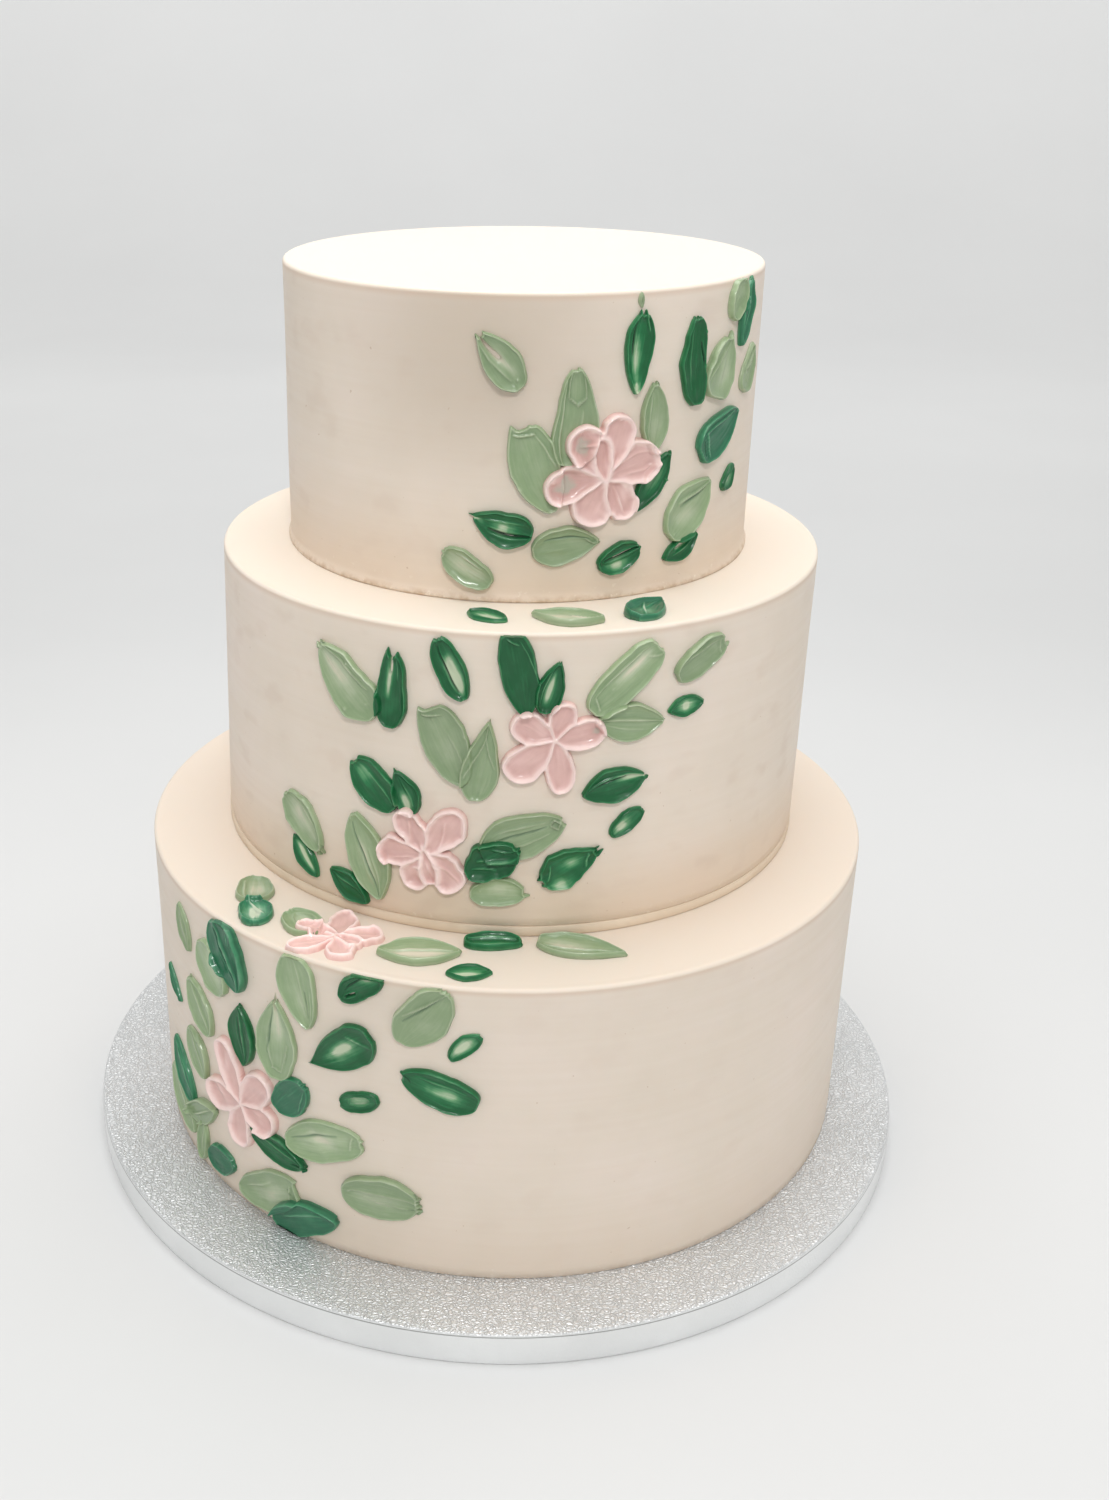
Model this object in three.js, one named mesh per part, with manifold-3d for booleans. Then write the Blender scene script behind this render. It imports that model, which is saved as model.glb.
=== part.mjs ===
// A three-tier wedding cake on a silver drum board, with leaves and flowers of buttercream
// laid on with a palette knife.
// Millimetres, +Z up. The origin is the centre of the board's underside, and the front faces -Y.
import * as THREE from "three";
import { mergeVertices } from "three/addons/utils/BufferGeometryUtils.js";
import Module from "manifold-3d";

const wasm = await Module();
wasm.setup();

// Driving dimensions of the board and the tiers
const BOARD = { radius: 152.4, thickness: 12, edgeRound: 0.6 };
const CARD = { overhang: 1, thickness: 3.5 };
const RIM_CHAMFER = 0.9;
const FOOT_LIP = { reach: 0.8, height: 1.8, fade: 1.6 };
// Each tier's radius is at its foot. Its rim is smaller by the taper
// and sits to the right of the foot by the lean.
const LOW_FOOT = BOARD.thickness;
const LOW = { x: 2, y: 0, foot: LOW_FOOT, height: 110.5, radius: 127.6, taper: 0, lean: 0 };
const MID_FOOT = LOW_FOOT + LOW.height;
const MID = { x: 3.5, y: 6.5, foot: MID_FOOT, height: 101.5, radius: 102.6, taper: 0.7, lean: 1.5 };
const TOP_FOOT = MID_FOOT + MID.height;
const TOP = { x: 4, y: 10, foot: TOP_FOOT, height: 92.5, radius: 78.2, taper: 0, lean: 0 };

// How a stroke of buttercream lies on the icing
const STROKE_GAP = 0.3; // between a stroke that is a piece of its own and the icing behind it
const SUNK = -0.5; // a small stroke that is one piece with its tier starts this deep in it
const EDGE_MARGIN = 0.7; // strokes end this far from a tier's foot and its rim
const LEAF = { bead: 2.1, hollow: 1.0 };
const SMALL_LEAF = { bead: 1.5, hollow: 0.8 };
const PETAL = { bead: 3.0, hollow: 1.5, overshoot: 2 };
const PETAL_CLEARANCE = 0.35;
const CUT_DEPTH = -1.5;
const CUT_HEIGHT = 6;
const SLIVER = 2; // in cubic mm: what a petal cuts off a leaf may be left out up to this size
const ROUND_SEGMENTS = 72;

// Where the cross-rows and the lengthwise lines of a stroke lie, as shares of its length and half-width
const ROW_STATIONS = [0.05, 0.2, 0.4, 0.6, 0.8, 0.95];
const LINE_STATIONS = [-1, -0.76, 0, 0.76, 1];
const BEAD_LINES = new Set([1, 3]);

// Outlines: the widest point from the tip, and how blunt (low) or pointed (high) each end is
const OVAL = { widest: 0.5, tip: 0.5, foot: 0.5 };
const DROP = { widest: 0.6, tip: 0.85, foot: 0.5 };
const TAIL = { widest: 0.66, tip: 1.1, foot: 0.5 };
const BLADE = { widest: 0.5, tip: 0.85, foot: 0.8 };
const PADDLE = { widest: 0.42, tip: 0.38, foot: 0.6 };
const WEDGE = { widest: 0.7, tip: 0.6, foot: 0.36 };
const CLUB = { widest: 0.38, tip: 0.5, foot: 0.75 };
const PETAL_OUTLINE = { widest: 0.62, tip: 0.7, foot: 0.45 };

const material = (color, roughness, metalness = 0) =>
  new THREE.MeshStandardMaterial({ color, roughness, metalness });
const IVORY = () => material(0xdfd1c3, 0.7);
const CREAM = () => material(0xe6d3b8, 0.75);
const SILVER = () => material(0xcfd2d4, 0.4, 0.8);
const PINK = () => material(0xe6c3be, 0.45);
const SAGE = () => material(0x96b291, 0.4);
const GREEN = () => material(0x236e46, 0.35);

// A closed three.js geometry as a solid that can be joined and cut
function solidOf(geometry) {
  const bare = geometry.clone();
  bare.deleteAttribute("normal");
  bare.deleteAttribute("uv");
  const merged = mergeVertices(bare, 1e-4);
  return new wasm.Manifold(
    new wasm.Mesh({
      numProp: 3,
      vertProperties: merged.attributes.position.array,
      triVerts: new Uint32Array(merged.index.array),
    }),
  );
}

function geometryOf(solid) {
  const mesh = solid.getMesh();
  const geometry = new THREE.BufferGeometry();
  geometry.setAttribute("position", new THREE.BufferAttribute(mesh.vertProperties, 3));
  geometry.setIndex(new THREE.BufferAttribute(mesh.triVerts, 1));
  geometry.computeVertexNormals();
  return geometry;
}

function node(name, geometry, look) {
  const mesh = new THREE.Mesh(geometry, look);
  mesh.name = name;
  return mesh;
}

// A round solid from its profile of [radius, height] points, from the foot's centre to the top's centre.
// The slope is how far it leans to the right for each mm of height.
function round(profile, x, y, z, slope = 0) {
  const points = profile.map(([radius, height]) => new THREE.Vector2(radius, height));
  const geometry = new THREE.LatheGeometry(points, ROUND_SEGMENTS);
  geometry.rotateX(Math.PI / 2);
  geometry.applyMatrix4(new THREE.Matrix4().makeShear(0, 0, 0, 0, slope, 0));
  geometry.translate(x, y, z);
  return geometry;
}

// The two kinds of ground that a stroke lies on: a tier's side, and the ledge that its top makes.
// Each turns (to the right, upwards or backwards, outwards) in mm into a point.
function sideOf(tier, angle, height) {
  const middle = THREE.MathUtils.degToRad(angle);
  return (right, up, out) => {
    const turn = middle + right / tier.radius;
    const level = THREE.MathUtils.clamp(height + up, EDGE_MARGIN, tier.height - EDGE_MARGIN);
    const share = level / tier.height;
    const reach = tier.radius - tier.taper * share + out;
    const x = tier.x + tier.lean * share + reach * Math.sin(turn);
    return [x, tier.y - reach * Math.cos(turn), tier.foot + level];
  };
}

function ledgeOf(tier, x, y) {
  return (right, back, out) => {
    const place = new THREE.Vector2(x + right, y + back);
    place.clampLength(0, tier.radius - tier.taper - EDGE_MARGIN);
    return [tier.x + tier.lean + place.x, tier.y + place.y, tier.foot + tier.height + out];
  };
}

// Half the width of an outline at a share of its length
function halfWidth(outline, share) {
  const before = share < outline.widest;
  const away = before ? 1 - share / outline.widest : (share - outline.widest) / (1 - outline.widest);
  return Math.pow(Math.max(0, 1 - away * away), before ? outline.tip : outline.foot);
}

// A stroke's spine runs from its tip to its foot. A turn of 0 points it down (or forwards on a ledge),
// and a larger turn swings the foot to the right.
function strokePoint(stroke, share, across, out) {
  const turn = THREE.MathUtils.degToRad(stroke.turn);
  const along = (share - 0.5) * stroke.length;
  const aside = across * halfWidth(stroke.outline, share) * (stroke.width / 2);
  const right = along * Math.sin(turn) + aside * Math.cos(turn);
  const up = -along * Math.cos(turn) + aside * Math.sin(turn);
  return stroke.ground(right, up, out);
}

// Triangles between two neighbouring rows of point numbers, which may be a single end point
function band(first, second, flip, triangles) {
  const add = (a, b, c) => triangles.push(...(flip ? [a, c, b] : [a, b, c]));
  const lines = Math.max(first.length, second.length) - 1;
  for (let line = 0; line < lines; line++) {
    if (first.length > 1) add(first[line], second[second.length > 1 ? line + 1 : 0], first[line + 1]);
    if (second.length > 1) add(first[first.length > 1 ? line : 0], second[line], second[line + 1]);
  }
}

function solidFrom(points, triangles) {
  return new wasm.Manifold(
    new wasm.Mesh({
      numProp: 3,
      vertProperties: new Float32Array(points.flat()),
      triVerts: new Uint32Array(triangles),
    }),
  );
}

// A stroke: a flat back, a raised bead along both edges and a hollow between them
function strokeSolid(stroke, heights, base) {
  const points = [];
  const triangles = [];
  const keep = (share, across, out) => points.push(strokePoint(stroke, share, across, out)) - 1;
  const rise = (line, share) => {
    const fullness = Math.sqrt(Math.sin(Math.PI * share));
    return base + fullness * (BEAD_LINES.has(line) ? heights.bead : heights.hollow);
  };
  const tip = keep(0, 0, base);
  const foot = keep(1, 0, base);
  const front = [[tip]];
  const back = [[tip]];
  for (const share of ROW_STATIONS) {
    const row = LINE_STATIONS.map((across, line) =>
      keep(share, across, Math.abs(across) === 1 ? base : rise(line, share)),
    );
    front.push(row);
    back.push([row[0], keep(share, 0, base), row.at(-1)]);
  }
  front.push([foot]);
  back.push([foot]);
  for (let row = 0; row + 1 < front.length; row++) {
    band(front[row], front[row + 1], false, triangles);
    band(back[row], back[row + 1], true, triangles);
  }
  return solidFrom(points, triangles);
}

// A column with a stroke's outline, made a little larger, that cuts the leaves it lies over
function strokeColumn(stroke) {
  const grown = {
    ...stroke,
    length: stroke.length + 2 * PETAL_CLEARANCE,
    width: stroke.width + 2 * PETAL_CLEARANCE,
  };
  const points = [];
  const triangles = [];
  const layer = (out) => {
    const keep = (share, across) => points.push(strokePoint(grown, share, across, out)) - 1;
    const rows = ROW_STATIONS.map((share) => [-1, 0, 1].map((across) => keep(share, across)));
    return [[keep(0, 0)], ...rows, [keep(1, 0)]];
  };
  const lower = layer(CUT_DEPTH);
  const upper = layer(CUT_HEIGHT);
  for (let row = 0; row + 1 < upper.length; row++) {
    band(upper[row], upper[row + 1], false, triangles);
    band(lower[row], lower[row + 1], true, triangles);
    const [left, nextLeft] = [row, row + 1].map((at) => [lower[at][0], upper[at][0]]);
    const [right, nextRight] = [row, row + 1].map((at) => [lower[at].at(-1), upper[at].at(-1)]);
    band(left, nextLeft, false, triangles);
    band(right, nextRight, true, triangles);
  }
  return solidFrom(points, triangles);
}

// A leaf that petals have cut back: its slivers are left out, and it may not fall into larger pieces
function inOnePiece(name, solid) {
  const bodies = solid.decompose().sort((first, second) => second.volume() - first.volume());
  if (bodies.length > 1 && bodies[1].volume() > SLIVER) {
    throw new Error(name + " is more than one piece");
  }
  return bodies[0];
}

// Strokes on a side are placed by their angle from the front (right is positive) and their height above
// the tier's foot, and strokes on a ledge by their x and y from the tier's axis.
const strokesOn = (groundOf, tier) => (look, first, second, length, width, turn, outline) => ({
  ground: groundOf(tier, first, second),
  look,
  length,
  width,
  turn,
  outline,
});
const top = strokesOn(sideOf, TOP);
const mid = strokesOn(sideOf, MID);
const low = strokesOn(sideOf, LOW);
const midLedge = strokesOn(ledgeOf, MID);
const lowLedge = strokesOn(ledgeOf, LOW);

// Leaves: each entry is one piece, and strokes that run into each other share a piece.
// A stroke is its look, its two places, length, width, turn and outline.
const LEAVES = {
  leaf_top_slotted: [top(SAGE, -4.2, 72.8, 18.5, 11, 38, DROP)],
  leaf_top_upright: [top(GREEN, 25.5, 74, 23, 9, -4, CLUB)],
  leaves_top_behind_flower: [
    top(SAGE, 11.7, 56.5, 28.5, 13.5, -2, WEDGE),
    top(SAGE, 3.9, 41, 27, 15, 20, PADDLE),
  ],
  leaf_top_over_petal: [top(SAGE, 30.2, 54.6, 21, 9.5, 0, BLADE)],
  leaf_top_under_petal: [top(GREEN, 30.4, 35.3, 20.5, 8, -35, BLADE)],
  leaves_top_right_pair: [
    top(GREEN, 40.9, 69.8, 26, 10, 2, OVAL),
    top(SAGE, 50.2, 66.6, 19, 14, -20, WEDGE),
  ],
  leaves_top_at_rim: [
    top(SAGE, 55.5, 86, 13, 9.5, -28, OVAL),
    top(GREEN, 59.8, 81.2, 19, 8, -16, DROP),
  ],
  leaf_top_teal: [top(GREEN, 51.3, 46.6, 23, 15, -57, DROP)],
  leaves_top_lower_right: [
    top(SAGE, 42, 25, 23, 15.5, -48, DROP),
    top(GREEN, 40.2, 12.8, 15.5, 7.5, -66, BLADE),
  ],
  leaf_top_left_dark: [top(GREEN, -3.3, 23.6, 18.5, 11.3, 74, DROP)],
  leaf_top_under_flower: [top(SAGE, 10.5, 18, 20.5, 12.2, -82, DROP)],
  leaf_top_base_dark: [top(GREEN, 23.1, 12.9, 14.5, 9.5, -70, OVAL)],
  leaf_top_base_left: [top(SAGE, -11, 10.1, 17.5, 10, 57, OVAL)],
  leaf_mid_ledge_pale: [midLedge(SAGE, 14.5, -89.3, 22, 12, 78, BLADE)],
  leaf_mid_ledge_dark: [midLedge(GREEN, 38.8, -81.2, 19, 11.5, -30, TAIL)],
  leaves_mid_left_pair: [
    mid(SAGE, -30.1, 79.7, 27.5, 16.5, 47, OVAL),
    mid(GREEN, -21.4, 79.9, 24.5, 10, -2, BLADE),
  ],
  leaf_mid_slotted: [mid(GREEN, -11.1, 89.1, 20.5, 9.3, 25, OVAL)],
  leaves_mid_over_flower: [
    mid(GREEN, 0.3, 88.6, 26.5, 11.5, 13, PADDLE),
    mid(GREEN, 5.6, 84.5, 16.5, 8.5, -16, DROP),
  ],
  leaves_mid_right_pair: [
    mid(SAGE, 18.1, 86, 28, 13.8, -47, OVAL),
    mid(SAGE, 19.4, 72, 22.5, 12.5, -95, BLADE),
  ],
  leaf_mid_far_right: [mid(SAGE, 32.4, 88.9, 19.5, 11, -62, OVAL)],
  leaves_mid_middle: [
    mid(SAGE, -11.4, 64.4, 26.5, 14.5, 25, PADDLE),
    mid(SAGE, -5.4, 60.3, 26.5, 11.5, -8, TAIL),
  ],
  leaf_mid_right_dark: [mid(GREEN, 17.3, 51.5, 20.5, 11.5, -77, BLADE)],
  leaves_mid_left_dark: [
    mid(GREEN, -24.5, 47.5, 20, 12.8, 45, OVAL),
    mid(GREEN, -18.6, 47, 15, 8.5, 25, DROP),
  ],
  leaf_mid_left_edge: [mid(SAGE, -40.3, 26.6, 20, 13.2, 46, PADDLE)],
  leaf_mid_long: [mid(SAGE, -25.8, 22, 30, 15, 20, BLADE)],
  leaf_mid_base_dark: [mid(GREEN, -29.5, 9.6, 17, 9, 60, BLADE)],
  leaves_mid_fan: [
    mid(SAGE, 1.7, 35.4, 27, 15, -66, DROP),
    mid(GREEN, -3.3, 27, 18, 12.5, -58, OVAL),
    mid(SAGE, -2.1, 16, 17, 10.3, -88, OVAL),
  ],
  leaf_mid_ragged: [mid(GREEN, 10.1, 24.7, 18.5, 12, -60, WEDGE)],
  leaves_low_ledge_pair: [
    lowLedge(SAGE, -82, -72.5, 17, 13, 5, OVAL),
    lowLedge(GREEN, -79.7, -86.8, 15, 12, 10, OVAL),
  ],
  leaf_low_ledge_tucked: [lowLedge(SAGE, -63.8, -92.7, 17, 12.5, 35, OVAL)],
  leaf_low_ledge_long: [lowLedge(SAGE, -25.9, -108, 26, 14.5, -88, BLADE)],
  leaf_low_ledge_dark: [lowLedge(GREEN, -3.1, -101.6, 18, 7.8, -86, OVAL)],
  leaf_low_ledge_right: [lowLedge(SAGE, 24.6, -103.2, 28, 12, -102, TAIL)],
  leaves_low_crossed: [
    low(SAGE, -47.9, 89.2, 20, 15, 43, OVAL),
    low(GREEN, -43.3, 98.8, 25, 16.5, 28, PADDLE),
  ],
  leaf_low_far_left: [low(SAGE, -52, 69.4, 21.5, 13.5, 41, BLADE)],
  leaf_low_pointed: [low(SAGE, -29.3, 98, 26, 14, 15, CLUB)],
  leaf_low_at_rim: [low(GREEN, -19.6, 106, 16.5, 9.5, -54, OVAL)],
  leaf_low_dark_upright: [low(GREEN, -41, 70.5, 22, 12.5, 5, BLADE)],
  leaf_low_feathered: [low(SAGE, -33.8, 76, 29.5, 16, 0, DROP)],
  leaf_low_round: [low(SAGE, -10.5, 99, 24, 16, -35, OVAL)],
  leaf_low_lit: [low(GREEN, -22.5, 81.2, 25.5, 15.5, 127, TAIL)],
  leaf_low_beside_flower: [low(SAGE, -53.9, 48.4, 19, 13, 39, BLADE)],
  leaves_low_left_edge: [
    low(GREEN, -60.4, 32.2, 25, 12, 46, BLADE),
    low(SAGE, -61.9, 18, 28, 12, 60, BLADE),
    low(SAGE, -53.8, 24, 25, 9.5, -60, BLADE),
    low(SAGE, -54, 11, 17, 7, -8, OVAL),
  ],
  leaf_low_teal_round: [low(GREEN, -31.6, 56, 17, 13, -42, OVAL)],
  leaf_low_right_dark: [low(GREEN, -8.1, 73, 25, 13.3, 72, DROP)],
  leaf_low_bottom_round: [low(GREEN, -48.2, 11, 16, 11, -75, OVAL)],
  leaf_low_tucked: [low(GREEN, -34.7, 32, 23, 10.5, 79, OVAL)],
  leaf_low_wide: [low(SAGE, -26.2, 43.2, 31, 15.5, -74, BLADE)],
  leaves_low_bottom_pair: [
    low(SAGE, -37.1, 12.4, 29, 15.5, -66, PADDLE),
    low(GREEN, -29.7, 8.2, 28, 14, 113, PADDLE),
  ],
  leaf_low_streaked: [low(SAGE, -17.2, 27.3, 26, 17, -88, OVAL)],
};

// Small strokes that are one piece with the tier they lie on
const TOP_DABS = [
  top(SAGE, 64.5, 63.4, 15, 10, -28, OVAL),
  top(GREEN, 57.3, 30.2, 9.5, 6.5, -50, OVAL),
];
const MID_DABS = [
  mid(GREEN, 30.2, 74.1, 13, 7, -85, BLADE),
  mid(GREEN, -40, 14, 16, 8.5, 43, BLADE),
  mid(GREEN, 20.1, 38.1, 13, 7, -53, OVAL),
  midLedge(GREEN, -9.6, -89.2, 14, 8, 58, BLADE),
];
const LOW_DABS = [
  low(SAGE, -56.4, 95.5, 17, 9, 26, BLADE),
  low(GREEN, -62.8, 65.5, 15.5, 5.5, 55, BLADE),
  low(GREEN, -4.9, 89.8, 13, 6.5, -47, OVAL),
  low(GREEN, -20, 63.2, 14.5, 8, 110, OVAL),
  lowLedge(GREEN, -10.1, -119, 14, 8.5, -86, BLADE),
];

// A flower is a fan of petal strokes pulled outwards from one point. Each petal is
// [direction, length, width]: 0 points up (or backwards on a ledge), and a larger direction
// swings it to the right.
const flower = (ground, petals) =>
  petals.map(([direction, length, width]) => {
    const whole = length + PETAL.overshoot;
    const turn = 180 - direction;
    const swing = THREE.MathUtils.degToRad(turn);
    const middle = whole / 2 - PETAL.overshoot;
    const aside = middle * Math.sin(swing);
    const above = -middle * Math.cos(swing);
    const shifted = (right, up, out) => ground(right + aside, up + above, out);
    return { ground: shifted, look: PINK, length: whole, width, turn, outline: PETAL_OUTLINE };
  });

const FLOWERS = {
  flower_top: flower(sideOf(TOP, 18.6, 38.3), [
    [-30, 18, 12],
    [-9, 12.5, 6],
    [17, 19.5, 11],
    [70, 18.5, 12],
    [145, 15.5, 11],
    [-157, 15.5, 13],
    [-100, 18.5, 12],
  ]),
  flower_mid_right: flower(sideOf(MID, 6.6, 68), [
    [-64, 14.5, 10.5],
    [17, 12.5, 8.5],
    [79, 15.5, 10.5],
    [170, 18, 9.5],
    [-131, 18.5, 12],
  ]),
  flower_mid_left: flower(sideOf(MID, -14.8, 27.4), [
    [-31, 16.5, 9.5],
    [36, 19, 11],
    [-95, 15.5, 10.5],
    [-163, 13.5, 11],
    [131, 16, 12],
  ]),
  flower_low_ledge: flower(ledgeOf(LOW, -51.5, -101), [
    [5, 15.5, 9],
    [82, 13.5, 9.5],
    [165, 12.5, 9.5],
    [-63, 14.5, 9],
    [-114, 14.5, 8],
  ]),
  flower_low: flower(sideOf(LOW, -41.6, 42.9), [
    [-25, 24, 11.5],
    [40, 20, 12.5],
    [97, 16, 12],
    [-173, 17.5, 11.5],
    [-99, 20, 12],
  ]),
};

const cake = new THREE.Group();

// The drum board
const boardProfile = [
  [0, 0],
  [BOARD.radius - BOARD.edgeRound, 0],
  [BOARD.radius, BOARD.edgeRound],
  [BOARD.radius, BOARD.thickness - BOARD.edgeRound],
  [BOARD.radius - BOARD.edgeRound, BOARD.thickness],
  [0, BOARD.thickness],
];
cake.add(node("board", round(boardProfile, 0, 0, 0), SILVER()));

// The thin card that the middle tier stands on, which shows as a band around its foot
const cardProfile = [
  [0, 0],
  [MID.radius + CARD.overhang, 0],
  [MID.radius + CARD.overhang, CARD.thickness],
  [0, CARD.thickness],
];
cake.add(node("card_mid", round(cardProfile, MID.x, MID.y, MID.foot), CREAM()));

// A tier: an upright cylinder with a crisp rim, and the small strokes that are one piece with it
function tierNode(name, tier, footProfile, dabs) {
  const profile = [
    ...footProfile,
    [tier.radius - tier.taper, tier.height - RIM_CHAMFER],
    [tier.radius - tier.taper - RIM_CHAMFER, tier.height],
    [0, tier.height],
  ];
  const bare = solidOf(round(profile, tier.x, tier.y, tier.foot, tier.lean / tier.height));
  const dabbed = dabs.reduce((body, dab) => body.add(strokeSolid(dab, SMALL_LEAF, SUNK)), bare);
  return node(name, geometryOf(dabbed), IVORY());
}
const plainFoot = (tier, lift) => [
  [0, lift],
  [tier.radius, lift],
];
const lippedFoot = (tier) => [
  [0, 0],
  [tier.radius + FOOT_LIP.reach, 0],
  [tier.radius + FOOT_LIP.reach, FOOT_LIP.height],
  [tier.radius, FOOT_LIP.height + FOOT_LIP.fade],
];
cake.add(tierNode("tier_low", LOW, plainFoot(LOW, 0), LOW_DABS));
cake.add(tierNode("tier_mid", MID, plainFoot(MID, CARD.thickness), MID_DABS));
cake.add(tierNode("tier_top", TOP, lippedFoot(TOP), TOP_DABS));

// The flowers, and one column through all their petals for cutting back the leaves under them
const columns = [];
for (const [name, petals] of Object.entries(FLOWERS)) {
  const solids = petals.map((petal) => strokeSolid(petal, PETAL, STROKE_GAP));
  const joined = solids.reduce((body, petal) => body.add(petal));
  cake.add(node(name, geometryOf(joined), PINK()));
  columns.push(...petals.map(strokeColumn));
}
const underPetals = columns.reduce((body, column) => body.add(column));

for (const [name, strokes] of Object.entries(LEAVES)) {
  const solids = strokes.map((stroke) => strokeSolid(stroke, LEAF, STROKE_GAP));
  const joined = solids.reduce((body, stroke) => body.add(stroke));
  const cutBack = inOnePiece(name, joined.subtract(underPetals));
  cake.add(node(name, geometryOf(cutBack), strokes[0].look()));
}

export default cake;
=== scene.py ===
# %% [markdown]
# # A tiered wedding cake, dressed
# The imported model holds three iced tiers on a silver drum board, with leaves and flowers of
# buttercream on them. This lesson gives each piece its finish.
#
# The steps are the camera and light, the ground that the strokes lie on, the board, the card,
# the tiers, then the leaves and the flowers.

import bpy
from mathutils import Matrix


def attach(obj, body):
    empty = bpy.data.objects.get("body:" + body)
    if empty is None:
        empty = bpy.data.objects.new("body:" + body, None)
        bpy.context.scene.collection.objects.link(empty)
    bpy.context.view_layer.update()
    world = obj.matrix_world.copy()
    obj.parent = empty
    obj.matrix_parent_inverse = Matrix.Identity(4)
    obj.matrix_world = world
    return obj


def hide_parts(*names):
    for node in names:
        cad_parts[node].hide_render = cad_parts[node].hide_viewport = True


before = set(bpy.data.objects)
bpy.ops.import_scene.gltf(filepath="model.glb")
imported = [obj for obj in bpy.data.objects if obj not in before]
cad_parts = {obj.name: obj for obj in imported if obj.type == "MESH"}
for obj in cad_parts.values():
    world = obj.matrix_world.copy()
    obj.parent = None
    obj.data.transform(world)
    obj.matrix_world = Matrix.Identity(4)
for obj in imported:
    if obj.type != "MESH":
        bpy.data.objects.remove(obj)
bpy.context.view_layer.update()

# %% Tools
import math

import bpy
import numpy as np
from mathutils import Matrix, Vector

MM = 0.001
SEED = 7

# %% [markdown]
# ## Camera
# The cake is seen from a little above, quite close, with the picture cut tight round it. A camera
# could be placed by eye, but a close view has strong perspective, so its place was worked out from
# the rims and feet of the tiers. The picture's middle lies beside the lens's axis, which is what
# the shift is for.

# %% Place the camera
PICTURE_TALL = 1500
FOCAL_PIXELS = 1624.0
CAMERA_PITCH = 23.938
CAMERA_YAW = -2.343
CAMERA_ROLL = 1.198
CAMERA_AWAY = 589.6
AIM_HEIGHT = 150.03
AXIS_RIGHT_PIXELS = -120.8
AXIS_DOWN_PIXELS = -19.1


def camera_axes():
    """Right, up and forward of the camera, from its pitch, yaw and roll."""
    pitch = math.radians(CAMERA_PITCH)
    yaw = math.radians(CAMERA_YAW)
    roll = math.radians(CAMERA_ROLL)
    level = Vector((0, math.cos(pitch), -math.sin(pitch)))
    side = Vector((1, 0, 0))
    up = side.cross(level)
    forward = math.cos(yaw) * level + math.sin(yaw) * side
    turned = math.cos(yaw) * side - math.sin(yaw) * level
    right = math.cos(roll) * turned + math.sin(roll) * up
    above = math.cos(roll) * up - math.sin(roll) * turned
    place = Vector((0, 0, AIM_HEIGHT)) - CAMERA_AWAY * level
    return right, above, forward, place


def add_camera():
    right, above, forward, place = camera_axes()
    data = bpy.data.cameras.new("camera")
    data.lens = FOCAL_PIXELS * data.sensor_width / PICTURE_TALL
    data.shift_x = -AXIS_RIGHT_PIXELS / PICTURE_TALL
    data.shift_y = AXIS_DOWN_PIXELS / PICTURE_TALL
    data.clip_start = 0.01
    camera = bpy.data.objects.new("camera", data)
    turn = Matrix((right, above, -forward)).transposed().to_4x4()
    camera.matrix_world = Matrix.Translation(place * MM) @ turn
    bpy.context.collection.objects.link(camera)
    bpy.context.scene.camera = camera
    return camera


camera = add_camera()
print("The camera is", round(camera.location.length, 3), "m from the board's middle")

# %% [markdown]
# ## Floor and light
# Icing is judged by its soft shades, so the light is soft too: a wide panel above that makes the
# ledges brighter than the sides, a panel at the front right that draws a thin gleam along each
# stroke, and a pale sky that fills the shadows. Colours are shown as they are, with the plain
# view, because a film-like view would grey the pastel shades.

# %% Colours
def linear(red, green, blue):
    """A colour of 0 to 255 values as the linear values that shaders take."""
    values = []
    for value in (red, green, blue):
        part = value / 255
        values.append(part / 12.92 if part < 0.04045 else ((part + 0.055) / 1.055) ** 2.4)
    return (*values, 1.0)


# %% Light the set
def add_panel(name, place, aim, size, power):
    data = bpy.data.lights.new(name, "AREA")
    data.shape = "RECTANGLE"
    data.size, data.size_y = size
    data.energy = power
    light = bpy.data.objects.new(name, data)
    light.location = place
    light.rotation_mode = "QUATERNION"
    light.rotation_quaternion = (Vector(aim) - Vector(place)).to_track_quat("-Z", "Y")
    bpy.context.collection.objects.link(light)
    return light


def add_sky(color, strength):
    world = bpy.data.worlds.new("pale sky")
    world.use_nodes = True
    back = world.node_tree.nodes["Background"]
    back.inputs["Color"].default_value = linear(*color)
    back.inputs["Strength"].default_value = strength
    bpy.context.scene.world = world


CAKE_MIDDLE = (0, 0, 0.16)
add_panel("top panel", place=(0.0, 0.05, 1.3), aim=(0, 0, 0.2), size=(0.9, 0.9), power=9)
add_panel("front panel", place=(0.2, -2.1, 2.1), aim=CAKE_MIDDLE, size=(0.5, 0.3), power=25)
add_sky((244, 245, 243), strength=0.62)
bpy.context.scene.view_settings.view_transform = "Standard"
bpy.context.scene.view_settings.look = "None"
print("Lights:", [light.name for light in bpy.data.lights])


# %% A mesh from points and faces
def make_object(name, points, faces, materials, face_material=None):
    """A smooth mesh object; points are in mm."""
    mesh = bpy.data.meshes.new(name)
    mesh.from_pydata((np.asarray(points) * MM).tolist(), [], faces)
    mesh.polygons.foreach_set("use_smooth", [True] * len(mesh.polygons))
    for material in materials:
        mesh.materials.append(material)
    if face_material is not None:
        mesh.polygons.foreach_set("material_index", list(face_material))
    mesh.update()
    made = bpy.data.objects.new(name, mesh)
    bpy.context.collection.objects.link(made)
    return made


def dress(made, slot, *nodes):
    """The made piece rides on the cake and stands for its CAD nodes; the slot is not used."""
    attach(made, "root")
    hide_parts(*nodes)
    return made


# %% [markdown]
# ## Helpers for materials
# All materials are the Principled shader with small node chains for colour, gloss and relief. A
# chain reads either the place on the object, in metres, or values that the mesh carries.

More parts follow.
